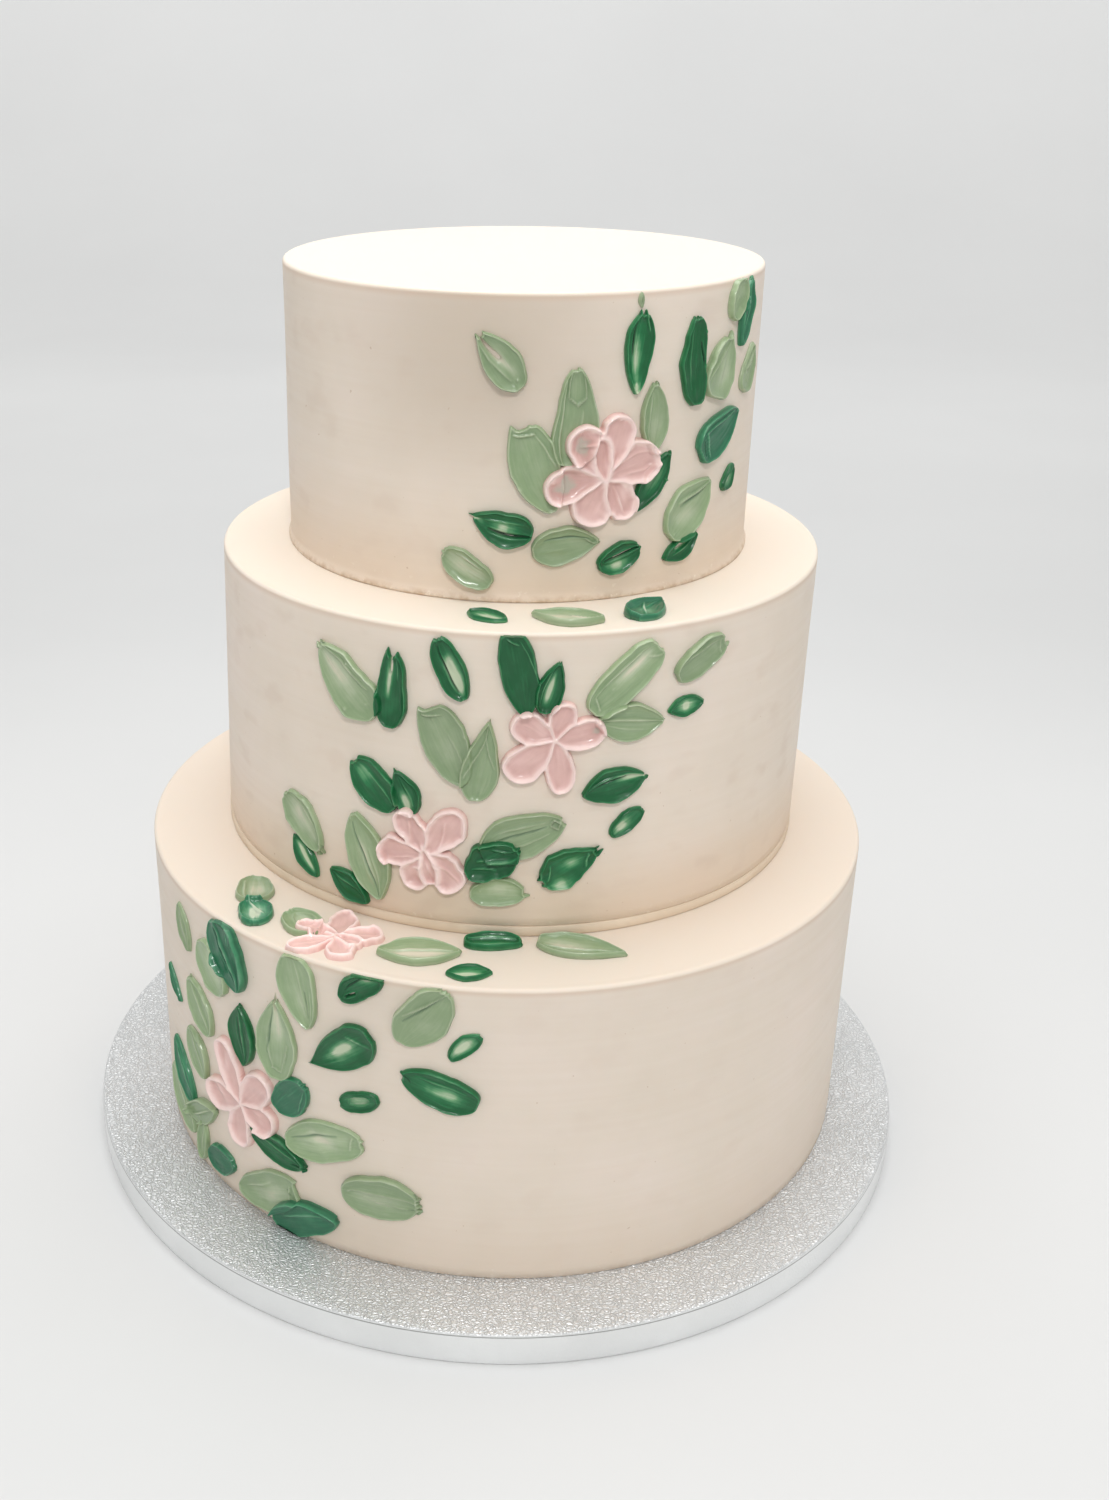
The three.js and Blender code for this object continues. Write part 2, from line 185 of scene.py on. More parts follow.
# %% Node helpers
class Shading:
    """A material with a Principled shader, and short ways to add nodes to it."""

    def __init__(self, name, roughness, metallic=0.0):
        self.material = bpy.data.materials.new(name)
        self.material.use_nodes = True
        self.tree = self.material.node_tree
        self.shader = self.tree.nodes["Principled BSDF"]
        self.shader.inputs["Roughness"].default_value = roughness
        self.shader.inputs["Metallic"].default_value = metallic

    def node(self, kind, settings=None, **inputs):
        made = self.tree.nodes.new(kind)
        for key, value in (settings or {}).items():
            setattr(made, key, value)
        for key, value in inputs.items():
            self.put(made.inputs[key.replace("_", " ")], value)
        return made

    def put(self, socket, value):
        if isinstance(value, bpy.types.NodeSocket):
            self.tree.links.new(value, socket)
        else:
            socket.default_value = value

    def place(self, stretch=(1, 1, 1)):
        """Where a point is on the object, in metres, stretched for a pattern."""
        spot = self.node("ShaderNodeTexCoord").outputs["Object"]
        return self.node("ShaderNodeMapping", Vector=spot, Scale=stretch).outputs["Vector"]

    def carried(self, name):
        """A value that the mesh carries at each point."""
        return self.node("ShaderNodeAttribute", {"attribute_name": name}).outputs["Fac"]

    def noise(self, vector, scale, detail=3.0, roughness=0.5):
        made = self.node("ShaderNodeTexNoise", Vector=vector, Scale=scale, Detail=detail)
        made.inputs["Roughness"].default_value = roughness
        return made.outputs["Fac"]

    def math(self, operation, first, second=0.0):
        made = self.tree.nodes.new("ShaderNodeMath")
        made.operation = operation
        self.put(made.inputs[0], first)
        self.put(made.inputs[1], second)
        return made.outputs[0]

    def span(self, value, low, high, to_low=0.0, to_high=1.0, smooth=False):
        made = self.tree.nodes.new("ShaderNodeMapRange")
        made.interpolation_type = "SMOOTHSTEP" if smooth else "LINEAR"
        for socket, given in zip(made.inputs, (value, low, high, to_low, to_high)):
            self.put(socket, given)
        return made.outputs["Result"]

    def ramp(self, value, stops):
        made = self.node("ShaderNodeValToRGB", Fac=value)
        elements = made.color_ramp.elements
        while len(elements) < len(stops):
            elements.new(1.0)
        for element, (position, color) in zip(elements, stops):
            element.position = position
            element.color = linear(*color)
        return made.outputs["Color"]

    def mix(self, amount, first, second):
        made = self.tree.nodes.new("ShaderNodeMix")
        made.data_type = "RGBA"
        self.put(made.inputs["Factor"], amount)
        self.put(made.inputs["A"], first)
        self.put(made.inputs["B"], second)
        return made.outputs["Result"]

    def bump(self, height, deep, strength=1.0, under=None):
        made = self.node("ShaderNodeBump", Height=height, Distance=deep, Strength=strength)
        if under is not None:
            self.put(made.inputs["Normal"], under)
        return made.outputs["Normal"]

    def set(self, **inputs):
        for key, value in inputs.items():
            self.put(self.shader.inputs[key.replace("_", " ")], value)


# %% [markdown]
# ## Floor
# A plain pale floor that curves up into a plain backdrop far behind, so that no horizon shows in
# the photo's view. The far floor and the backdrop glow a little, because the panels are too far
# away to light them as evenly as the floor round the cake.

# %% Lay the floor
def floor_finish():
    floor = Shading("pale floor", 0.7)
    cloud = floor.noise(floor.place(), 3.0)
    floor.set(Base_Color=floor.ramp(cloud, [(0.3, (214, 214, 214)), (0.7, (218, 218, 218))]))
    place = floor.node("ShaderNodeSeparateXYZ", Vector=floor.place()).outputs
    glow = floor.span(place["Y"], 0.45, 1.35, 0.0, 0.16, smooth=True)
    glow = floor.math("ADD", glow, floor.span(place["Z"], 0.05, 0.4, 0.0, 0.08))
    floor.shader.inputs["Emission Color"].default_value = (1, 1, 1, 1)
    floor.set(Emission_Strength=glow)
    floor.shader.inputs["Specular IOR Level"].default_value = 0.2
    return floor.material


def add_floor():
    half, back, bend, tall = 9000, 1500, 900, 3900
    line = [(-half, 0), (back, 0)]
    for step in range(1, 17):
        turn = step * math.pi / 32
        line.append((back + bend * math.sin(turn), bend - bend * math.cos(turn)))
    line.append((back + bend, tall))
    points = [(x, y, z) for y, z in line for x in (-half, half)]
    faces = [(2 * k, 2 * k + 1, 2 * k + 3, 2 * k + 2) for k in range(len(line) - 1)]
    made = make_object("floor", points, faces, [floor_finish()])


add_floor()

# %% [markdown]
# ## The ground under the strokes
# A stroke of buttercream lies on a tier's upright side or on the ledge that a tier's top makes. If
# each stroke is drawn flat, as on paper, and a small function carries paper points to the cake,
# then one way of drawing strokes serves for both. On a side, paper x runs round the tier and paper
# y up it. On a ledge, they are plain x and y from the tier's axis. The third number is how far out
# of the icing a point lies.

# %% The three tiers
TIERS = {
    "low": dict(x=2.0, y=0.0, foot=12.0, height=110.5, radius=127.6, taper=0.0, lean=0.0),
    "mid": dict(x=3.5, y=6.5, foot=122.5, height=101.5, radius=102.6, taper=0.7, lean=1.5),
    "top": dict(x=4.0, y=10.0, foot=224.0, height=92.5, radius=78.2, taper=0.0, lean=0.0),
}
EDGE_MARGIN = 0.7


def on_side(tier, x, y, out):
    """Paper points on a tier's side, as points of the cake in mm."""
    level = np.clip(y, EDGE_MARGIN, tier["height"] - EDGE_MARGIN)
    share = level / tier["height"]
    reach = tier["radius"] - tier["taper"] * share + out
    turn = x / tier["radius"]
    right = tier["x"] + tier["lean"] * share + reach * np.sin(turn)
    return np.stack([right, tier["y"] - reach * np.cos(turn), tier["foot"] + level], axis=-1)


def on_ledge(tier, x, y, out):
    """Paper points on a tier's top, as points of the cake in mm."""
    away = np.hypot(x, y)
    most = tier["radius"] - tier["taper"] - EDGE_MARGIN
    held = np.minimum(1.0, most / np.maximum(away, 1e-9))
    level = tier["foot"] + tier["height"] + out
    right = tier["x"] + tier["lean"] + x * held
    return np.stack([right, tier["y"] + y * held, level], axis=-1)


GROUNDS = {"side": on_side, "ledge": on_ledge}
print("A point on the low tier's front:", on_side(TIERS["low"], np.array(0.0), np.array(50.0), 0))


# %% A turned form
def turned_form(rows, steps, wander=None):
    """Points and faces of a form turned on a wheel. Each row is (middle x, middle y, radius, z);
    wander moves the radius and the height of each point a little."""
    angle = np.linspace(0, 2 * np.pi, steps, endpoint=False)
    x, y, radius, z = (np.array(part)[:, None] for part in zip(*rows))
    around = np.broadcast_to(angle, (len(rows), steps))
    reach = np.broadcast_to(radius, around.shape)
    level = np.broadcast_to(z, around.shape)
    if wander is not None:
        extra, lift = wander(around, reach, level)
        reach = reach + extra
        level = level + lift
    points = np.stack([x + reach * np.sin(around), y - reach * np.cos(around), level], axis=-1)
    faces = []
    for row in range(len(rows) - 1):
        for step in range(steps):
            after = (step + 1) % steps
            low, high = row * steps, (row + 1) * steps
            faces.append((low + step, low + after, high + after, high + step))
    faces.append(tuple(reversed(range(steps))))
    faces.append(tuple(range((len(rows) - 1) * steps, len(rows) * steps)))
    return points.reshape(-1, 3), faces


# %% [markdown]
# ## The drum board
# A drum board is thick card wrapped in embossed foil. The top sheet has a fine fern-like crinkle
# that catches the light in sparks. A strip of smoother foil goes round the edge, and its upper
# border shows as a thin dark seam. The crinkle is far too fine to model, so it is relief in the
# material: a bent cell pattern, whose borders are the creases, and a fine noise for the grain. Its
# colour has painted shade in the creases and painted glints on the cells between them.

# %% Foil
BOARD_RADIUS = 152.4
BOARD_TALL = 12.0
BOARD_STEPS = 288
TOP_FOIL_RINGS = (148, 142, 134, 124)
SEAM_DROP = 0.9
SEAM_SOFT = 0.35
PAINTED_CREASE_SHADE_COLOR = (170, 173, 176)
PAINTED_GLINT_COLOR = (248, 249, 250)
SEAM_COLOR = (96, 95, 93)


def foil_finish():
    foil = Shading("embossed silver foil", 0.42, metallic=0.6)
    spot = foil.place()
    height = foil.node("ShaderNodeSeparateXYZ", Vector=spot).outputs["Z"]
    top = foil.span(height, (BOARD_TALL - 0.5) * MM, (BOARD_TALL - 0.1) * MM)
    warp = foil.node("ShaderNodeTexNoise", Vector=spot, Scale=260.0, Detail=2.0)
    bent = foil.node("ShaderNodeVectorMath", {"operation": "MULTIPLY_ADD"})
    foil.put(bent.inputs[0], warp.outputs["Color"])
    foil.put(bent.inputs[1], (0.004, 0.004, 0.004))
    foil.put(bent.inputs[2], spot)
    fronds = foil.node("ShaderNodeTexVoronoi", {"feature": "DISTANCE_TO_EDGE"}, Scale=720.0)
    foil.put(fronds.inputs["Vector"], bent.outputs[0])
    creases = foil.span(fronds.outputs["Distance"], 0.0, 0.25)
    grain = foil.noise(spot, 1500.0, 2.0)
    relief = foil.math("ADD", creases, foil.math("MULTIPLY", grain, 0.6))
    relief = foil.math("MULTIPLY", relief, foil.span(top, 0, 1, 0.12, 1.0))
    cloud = foil.noise(spot, 22.0, 3.0)
    shade = foil.ramp(cloud, [(0.3, (212, 214, 215)), (0.7, (227, 228, 229))])
    # Painted shade in the creases, and painted glints on the cells between them.
    shade = foil.mix(foil.span(creases, 0.0, 0.35, 0.14, 0.0), shade, linear(*PAINTED_CREASE_SHADE_COLOR))
    painted_glint = foil.mix(foil.span(creases, 0.3, 1.0, 0.0, 0.45), shade, linear(*PAINTED_GLINT_COLOR))
    strip = foil.ramp(cloud, [(0.3, (232, 233, 233)), (0.7, (243, 244, 244))])
    base = foil.mix(top, strip, painted_glint)
    seam_level = BOARD_TALL - SEAM_DROP
    seam_low = foil.span(height, (seam_level - SEAM_SOFT) * MM, seam_level * MM)
    seam_high = foil.span(height, seam_level * MM, (seam_level + SEAM_SOFT) * MM)
    seam = foil.math("SUBTRACT", seam_low, seam_high)
    base = foil.mix(foil.math("MULTIPLY", seam, 0.85), base, linear(*SEAM_COLOR))
    foil.set(Base_Color=base, Normal=foil.bump(relief, 0.00024, 0.85))
    foil.set(Roughness=foil.span(grain, 0.3, 0.7, 0.32, 0.48))
    return foil.material


# %% Make the board
def make_board():
    fold = 0.8
    rows = [(0, 0, 20, 0), (0, 0, BOARD_RADIUS - fold, 0)]
    for step in range(1, 5):
        turn = step * math.pi / 8
        rows.append((0, 0, BOARD_RADIUS - fold + fold * math.sin(turn), fold - fold * math.cos(turn)))
    rows.append((0, 0, BOARD_RADIUS, BOARD_TALL - SEAM_DROP))
    for step in range(0, 5):
        turn = step * math.pi / 8
        reach = BOARD_RADIUS - fold + fold * math.cos(turn)
        rows.append((0, 0, reach, BOARD_TALL - fold + fold * math.sin(turn)))
    for reach in TOP_FOIL_RINGS:
        rows.append((0, 0, reach, BOARD_TALL))

    def uneven(angle, reach, level):
        lift = 0.08 * np.sin(5 * angle + 0.06 * reach) * (level >= BOARD_TALL)
        return 0 * reach, np.minimum(lift, 0) * (reach < 151)

    points, faces = turned_form(rows, BOARD_STEPS, uneven)
    return dress(make_object("drum_board", points, faces, [foil_finish()]), "foil", "board")


board = make_board()
print("Board:", len(board.data.polygons), "faces")

# %% [markdown]
# ## The icing of the tiers
# The icing is smooth buttercream pulled round with a scraper. Up close it isn't perfect: the
# scraper leaves faint level streaks, the side swells and sinks by a hair, and the colour is a little
# warmer and crumbly near each foot. Painted shade darkens each tier's side a little, and the top
# tier's front left more; each tier's top takes a colour of its own, darker on the low tier as
# painted shade. The slow swellings are in the mesh, because they move the outline, and the streaks,
# stains, pores and painted shade are in the material. Light goes a little way into buttercream, so
# the shader has some subsurface.

# %% Icing finish
# The middle, in mm, of a spot of painted shade on the top tier's front left.
PAINTED_SHADE_SPOT = (-8, -68, 300)
# Each tier's top takes a colour of its own, free of the painted shade on its side; the low tier's is
# darker as painted shade.
LEDGE_COLORS_WITH_PAINTED_SHADE = {"low": (230, 216, 201), "mid": (238, 225, 210), "top": (238, 225, 210)}
TINTS = {
    # The shade tint is painted shade; the others are the icing's own colours.
    "shade": (196, 181, 164),
    "foot": (222, 196, 168),
    "crumb": (184, 150, 116),
    "fleck": (252, 242, 228),
    "rim line": (206, 176, 152),
    "streak": (214, 194, 172),
    "stain": (206, 182, 164),
    "speck": (176, 140, 104),
}


def icing_finish(name, ledge, foot, rim, warmth, shade, dark):
    """Ivory icing for a tier between two heights in mm; warmth tints its foot, and shade and dark say
    how much painted shade darkens it in most places and round the spot of painted shade."""
    icing = Shading(name, 0.55)
    tint = {key: linear(*color) for key, color in TINTS.items()}
    spot = icing.place()
    height = icing.node("ShaderNodeSeparateXYZ", Vector=spot).outputs["Z"]
    cloud = icing.noise(spot, 17.0, 4.0, 0.6)
    streaks = icing.noise(icing.place((9, 9, 420)), 1.0, 4.0, 0.6)
    pores = icing.noise(spot, 900.0, 2.0)
    base = icing.ramp(cloud, [(0.3, (230, 217, 202)), (0.5, (235, 222, 208)), (0.7, (239, 225, 213))])
    # Painted shade: a little over the whole side, and more round the spot.
    away = icing.node("ShaderNodeVectorMath", {"operation": "DISTANCE"})
    icing.put(away.inputs[0], spot)
    icing.put(away.inputs[1], tuple(part * MM for part in PAINTED_SHADE_SPOT))
    painted_shade = icing.span(away.outputs["Value"], 8 * MM, 58 * MM, dark, shade, smooth=True)
    base = icing.mix(painted_shade, base, tint["shade"])
    near_foot = icing.span(height, (foot + 2) * MM, (foot + 38) * MM, 1.0, 0.0, smooth=True)
    uneven = icing.span(icing.noise(spot, 30.0, 2.0), 0.3, 0.7, 0.65, 1.0)
    tan = icing.math("MULTIPLY", icing.math("MULTIPLY", near_foot, warmth), uneven)
    base = icing.mix(tan, base, tint["foot"])
    line = icing.span(height, (foot + 0.8) * MM, (foot + 2.4) * MM, 1.0, 0.0)
    crumbs = icing.span(icing.noise(spot, 330.0, 3.0), 0.42, 0.66, 0.15 * warmth, 1.3 * warmth)
    base = icing.mix(icing.math("MULTIPLY", line, crumbs), base, tint["crumb"])
    low_band = icing.span(height, (foot + 3) * MM, (foot + 7) * MM, 1.0, 0.0)
    flecks = icing.span(icing.noise(spot, 460.0, 2.0), 0.66, 0.7, 0.0, 0.8 * warmth)
    base = icing.mix(icing.math("MULTIPLY", low_band, flecks), base, tint["fleck"])
    under_rim = icing.span(height, (rim - 3.2) * MM, (rim - 1.4) * MM, 0.0, 1.0, smooth=True)
    over_line = icing.span(height, (rim - 1.4) * MM, (rim - 0.7) * MM, 1.0, 0.0)
    line = icing.math("MULTIPLY", icing.math("MULTIPLY", under_rim, over_line), 0.35)
    base = icing.mix(line, base, tint["rim line"])
    faint = icing.span(streaks, 0.3, 0.7, 0.0, 0.11)
    base = icing.mix(faint, base, tint["streak"])
    stains = icing.span(icing.noise(icing.place((60, 60, 95)), 1.0, 2.0), 0.58, 0.72, 0.0, 0.35)
    base = icing.mix(icing.math("MULTIPLY", stains, warmth), base, tint["stain"])
    specks = icing.span(icing.noise(spot, 620.0, 1.0), 0.79, 0.81, 0.0, 0.4)
    base = icing.mix(specks, base, tint["speck"])
    # The top takes its ledge colour in place of the side's painted shade.
    on_top = icing.span(height, (rim - 0.7) * MM, (rim - 0.2) * MM)
    base = icing.mix(on_top, base, linear(*ledge))
    relief = icing.bump(streaks, 0.0001, 0.4)
    icing.set(Base_Color=base, Normal=icing.bump(pores, 0.00004, 0.4, relief))
    icing.set(Roughness=icing.span(streaks, 0.3, 0.7, 0.48, 0.62))
    icing.set(Subsurface_Weight=0.15, Subsurface_Scale=0.003)
    icing.shader.inputs["Subsurface Radius"].default_value = (1.0, 0.7, 0.5)
    icing.shader.inputs["Specular IOR Level"].default_value = 0.35
    return icing.material


# %% Slow swellings
def swell(random, count, low, high):
    """A smooth wandering function of an angle and a height, from a few waves."""
    waves = []
    for _ in range(count):
        turns = random.integers(1, 9)
        climb = random.uniform(-0.09, 0.09)
        waves.append((turns, climb, random.uniform(0, 6.28), random.uniform(low, high)))

    def of(angle, level):
        return sum(a * np.sin(n * angle + climb * level + p) for n, climb, p, a in waves)

    return of


# %% Make the tiers
RIM_ROUND = 1.3
SIDE_ROWS = 34
AROUND = 320
TOP_RINGS = (2.2, 3.5, 6, 10, 15, 21, 28, 36, 46, 60)


def tier_rows(tier, foot_rows):
    """Rows from the foot up over the rim and in along the top."""
    rows = []
    rim_level = tier["height"] - RIM_ROUND

    def add(level, reach):
        share = level / tier["height"]
        x = tier["x"] + tier["lean"] * share
        rows.append((x, tier["y"], reach - tier["taper"] * share, tier["foot"] + level))

    for level, reach in foot_rows:
        add(level, reach)
    start = foot_rows[-1][0]
    for step in range(1, SIDE_ROWS + 1):
        add(start + (rim_level - start) * step / SIDE_ROWS, tier["radius"])
    for step in range(1, 8):
        turn = step * math.pi / 14
        drop = RIM_ROUND * (1 - math.cos(turn))
        add(rim_level + RIM_ROUND * math.sin(turn), tier["radius"] - drop)
    for inwards in TOP_RINGS:
        add(tier["height"], tier["radius"] - inwards)
    return rows


def make_tier(name, foot_rows, seed, **look):
    tier = TIERS[name]
    random = np.random.default_rng(seed)
    side = swell(random, 9, 0.01, 0.045)
    top = swell(random, 7, 0.01, 0.05)

    def uneven(angle, reach, level):
        over = tier["foot"] + tier["height"] - level
        on_top = (over < 0.01) & (reach < tier["radius"] - 1.5)
        extra = np.where(on_top, 0.0, side(angle, level))
        return extra, np.where(on_top, np.minimum(0.0, top(angle, reach) - 0.1), 0.0)

    points, faces = turned_form(tier_rows(tier, foot_rows), AROUND, uneven)
    rim = tier["foot"] + tier["height"]
    title = "ivory icing, " + name + " tier"
    finish = icing_finish(title, LEDGE_COLORS_WITH_PAINTED_SHADE[name], tier["foot"], rim, **look)
    made = make_object("tier_" + name + "_icing", points, faces, [finish])
    return dress(made, "icing", "tier_" + name)


CARD_TALL = 3.5
LOW_FOOT = [(0.0, 60), (0.0, 127.0), (0.35, 127.5)]
MID_FOOT = [(CARD_TALL, 60), (CARD_TALL, 102.3), (CARD_TALL + 0.3, 102.6)]
TOP_FOOT = [(0.0, 40), (0.0, 78.9), (0.5, 79.0), (1.1, 78.95), (1.8, 78.6), (2.6, 78.3), (3.6, 78.2)]
# Shade and dark are amounts of painted shade.
tier_low = make_tier("low", LOW_FOOT, seed=11, warmth=0.25, shade=0.14, dark=0.14)
tier_mid = make_tier("mid", MID_FOOT, seed=12, warmth=0.6, shade=0.05, dark=0.05)
tier_top = make_tier("top", TOP_FOOT, seed=13, warmth=0.45, shade=0.05, dark=0.62)
print("Tier faces:", [len(made.data.polygons) for made in (tier_low, tier_mid, tier_top)])

# %% [markdown]
# ## The card under the middle tier
# The middle tier stands on a thin round card that peeps out as a cream band, with a faint dark
# line above and below it. A band of its own shows its edges where a painted line wouldn't.

# %% Make the card band
CARD_STEPS = 360


def card_finish():
    card = Shading("cream card band", 0.6)
    spot = card.place()
    height = card.node("ShaderNodeSeparateXYZ", Vector=spot).outputs["Z"]
    foot = TIERS["mid"]["foot"]
    cloud = card.noise(spot, 60.0, 3.0)
    base = card.ramp(cloud, [(0.3, (222, 202, 178)), (0.7, (234, 216, 194))])
    low_line = card.span(height, foot * MM, (foot + 0.7) * MM, 1.0, 0.0)
    high_line = card.span(height, (foot + 2.7) * MM, (foot + 3.4) * MM, 0.0, 1.0)
    lines = card.math("MAXIMUM", low_line, high_line)
    base = card.mix(card.math("MULTIPLY", lines, 0.2), base, linear(190, 164, 136))
    card.set(Base_Color=base, Normal=card.bump(cloud, 0.0004, 0.6))
    return card.material


def make_card():
    tier = TIERS["mid"]
    rows = []
    profile = [(0, 40), (0, 102.6), (0.3, 102.8), (1.6, 102.85), (3.1, 102.75), (3.4, 102.55), (3.5, 60)]
    for level, reach in profile:
        rows.append((tier["x"], tier["y"], reach, tier["foot"] + level))
    wave = swell(np.random.default_rng(21), 10, 0.005, 0.03)

    def uneven(angle, reach, level):
        return np.where(reach > 101, np.minimum(wave(9 * angle, level), 0.0), 0.0), 0 * level

    points, faces = turned_form(rows, CARD_STEPS, uneven)
    return dress(make_object("card_band", points, faces, [card_finish()]), "card", "card_mid")


card = make_card()
print("Card faces:", len(card.data.polygons))

# %% [markdown]
# ## Strokes of buttercream
# A palette knife presses a lump of buttercream on the icing and pulls it along. That leaves a
# thick rounded rim, a scooped middle where the knife ran, ridges and streaks along the pull, and
# places so thin that the icing shows through. Sculpting eighty of these by hand would be slow, and
# noise alone looks like clay. So each stroke is drawn by rules: an outline on paper, a thickness
# at each point that follows from its distance to the outline, and a short list of marks, such as a
# ridge or a scraped place, that tell this stroke from the next. Horns are the ragged points where
# the knife left the icing.

# %% The four buttercreams
GREEN = "green"
TEAL = "teal"
SAGE = "sage"
PINK = "pink"

# %% Outlines
# The widest point from the tip, and how blunt (low) or pointed (high) each end is.
OVAL = (0.5, 0.5, 0.5)
DROP = (0.6, 0.85, 0.5)
TAIL = (0.66, 1.1, 0.5)
BLADE = (0.5, 0.85, 0.8)
PADDLE = (0.42, 0.38, 0.6)
WEDGE = (0.7, 0.6, 0.36)
CLUB = (0.38, 0.5, 0.75)
BOX = (0.5, 0.3, 0.4)
PETAL = (0.64, 0.85, 0.42)


def half_width(outline, share):
    """Half the width of an outline, as a share of its widest, at a share of its length."""
    widest, tip, foot = outline
    before = share < widest
    away = np.where(before, 1 - share / widest, (share - widest) / (1 - widest))
    return np.power(np.clip(1 - away * away, 0, 1), np.where(before, tip, foot))


# %% Marks on a stroke
# Each runs from one place to another, given as share of the length and place across.
def ridge(s0, t0, s1, t1, high=0.5, wide=0.6):
    return ("ridge", s0, t0, s1, t1, high, wide)


def groove(s0, t0, s1, t1, deep=0.5, wide=0.6):
    return ("groove", s0, t0, s1, t1, deep, wide)


def scraped(s0, t0, s1, t1, wide=1.2, much=1.0):
    return ("scraped", s0, t0, s1, t1, much, wide)


def thin(s0, t0, s1, t1, wide=2.0, much=0.7):
    return ("thin", s0, t0, s1, t1, much, wide)


def bead(s, t, high=0.5, wide=0.9):
    return ("ridge", s, t, s + 0.001, t, high, wide)


def pool(s, t, long, wide, deep=0.5):
    return ("pool", s, t, long, wide, deep, 0.0)


# %% One stroke as numbers
BORDER_LONG = 72
BORDER_END = 22


class Stroke:
    """A stroke on paper, with all that is needed to work out its thickness at any point."""

    def __init__(self, ground, tier, x, y, length, width, turn, outline, cream, marks, **habits):
        self.ground, self.tier = ground, TIERS[tier]
        self.x, self.y, self.length, self.width = x, y, length, width
        self.turn, self.outline, self.cream, self.marks = math.radians(turn), outline, cream, marks
        seed = int(abs(x) * 131 + abs(y) * 71 + length * 17 + width * 7) + SEED
        self.random = np.random.default_rng(seed)
        self.full = habits.get("full", 2.0)
        self.scoop = habits.get("scoop", 0.5)
        self.round = habits.get("round", 0.6)
        self.bank = habits.get("bank", 0.15)
        self.ragged = habits.get("ragged", 0.8)
        self.blunt = habits.get("blunt", 0.03)
        self.slant = habits.get("slant", self.random.uniform(-0.3, 0.3))
        self.over = habits.get("over", 0)
        self.lumpy = habits.get("lumpy", 1.4)
        self.tone = habits.get("tone", 0.5)
        self.bend = habits.get("bend", self.random.uniform(-0.7, 0.7))
        self.wobble = habits.get("wobble", 0.05)
        self.batch = self.random.uniform(0, 1)
        self.waves = self.random.uniform(0, 2 * np.pi, (2, 6))
        self.streaks = self.some(6, (4, 15), (0, 6.28), (0.2, 1))
        self.lumps = self.some(5, (0.25, 0.8), (0.25, 0.8), (0, 6.28))
        self.horns = list(habits.get("horns", self.some(3, (-0.9, 0.9), (0.1, 1.2), (0.12, 0.3))))
        self.foot_horns = list(habits.get("foot_horns", ()))
        self.hairs = [self.hair() for _ in range(habits.get("hairs", 6))]
        self.border = self.border_points()

    def some(self, count, *ranges):
        """A few lots of random numbers, one from each range."""
        return [tuple(self.random.uniform(*between) for between in ranges) for _ in range(count)]

    def hair(self):
        """A fine line that the knife's edge leaves along the pull."""
        start = self.random.uniform(0.05, 0.5)
        end = start + self.random.uniform(0.25, 0.6)
        across = self.random.uniform(-0.7, 0.7)
        drift = self.random.uniform(-0.15, 0.15)
        high = self.random.uniform(-0.12, 0.22)
        return start, across, min(end, 0.97), across + drift, high, self.random.uniform(0.24, 0.4)

    def half(self, share, right):
        """Half the width in mm at a share of the length, on the right or the left side."""
        wave = self.waves[1 if right else 0]
        wander = sum(np.sin((k + 1) * 2.2 * np.pi * share + wave[k]) / (k + 1) ** 1.5 for k in range(6))
        cut = self.blunt + share * (1 - 1.4 * self.blunt)
        return half_width(self.outline, cut) * self.width / 2 * (1 + self.wobble * wander)

    def curve(self, share):
        """How far the stroke's middle line is bent aside at a share of its length."""
        return self.bend * (4 * (share - 0.5) ** 2 - 0.4)

    def flat(self, share, across):
        """Share and place across as mm along and aside, on the stroke's own paper."""
        aside = np.where(across > 0, self.half(share, True), self.half(share, False)) * across
        tip = sum(much * np.exp(-(((across - spot) / wide) ** 2)) for spot, much, wide in self.horns)
        foot = sum(much * np.exp(-(((across - spot) / wide) ** 2)) for spot, much, wide in self.foot_horns)
        along = (share - 0.5) * self.length - self.ragged * tip * np.exp(-share * 11)
        return along + foot * np.exp(-(1 - share) * 11), aside + self.curve(share)

    def border_points(self):
        share = (1 - np.cos(np.linspace(0, np.pi, BORDER_LONG))) / 2
        end = np.linspace(-1, 1, BORDER_END)
        right = np.stack(self.flat(share, np.ones_like(share)), axis=-1)
        foot = np.stack(self.flat(np.ones_like(end), end[::-1]), axis=-1)
        left = np.stack(self.flat(share[::-1], -np.ones_like(share)), axis=-1)
        tip = np.stack(self.flat(np.zeros_like(end), end), axis=-1)
        return np.concatenate([right, foot[1:-1], left, tip[1:-1]])

    def edge_distance(self, along, aside):
        start = self.border
        step = np.roll(start, -1, axis=0) - start
        square = np.maximum((step**2).sum(-1), 1e-12)
        to = np.stack([along, aside], axis=-1)[..., None, :] - start
        hit = np.clip((to * step).sum(-1) / square, 0, 1)
        gap = to - hit[..., None] * step
        return np.sqrt((gap**2).sum(-1)).min(-1)

    def paper(self, along, aside):
        """The stroke's own mm as paper x and y on its ground."""
        x = self.x + along * math.sin(self.turn) + aside * math.cos(self.turn)
        y = self.y - along * math.cos(self.turn) + aside * math.sin(self.turn)
        return x, y

    def own(self, x, y):
        """Paper x and y as the stroke's own mm along and aside."""
        right, up = x - self.x, y - self.y
        along = right * math.sin(self.turn) - up * math.cos(self.turn)
        return along, right * math.cos(self.turn) + up * math.sin(self.turn)

    def cake_points(self, x, y, out):
        return GROUNDS[self.ground](self.tier, x, y, out)


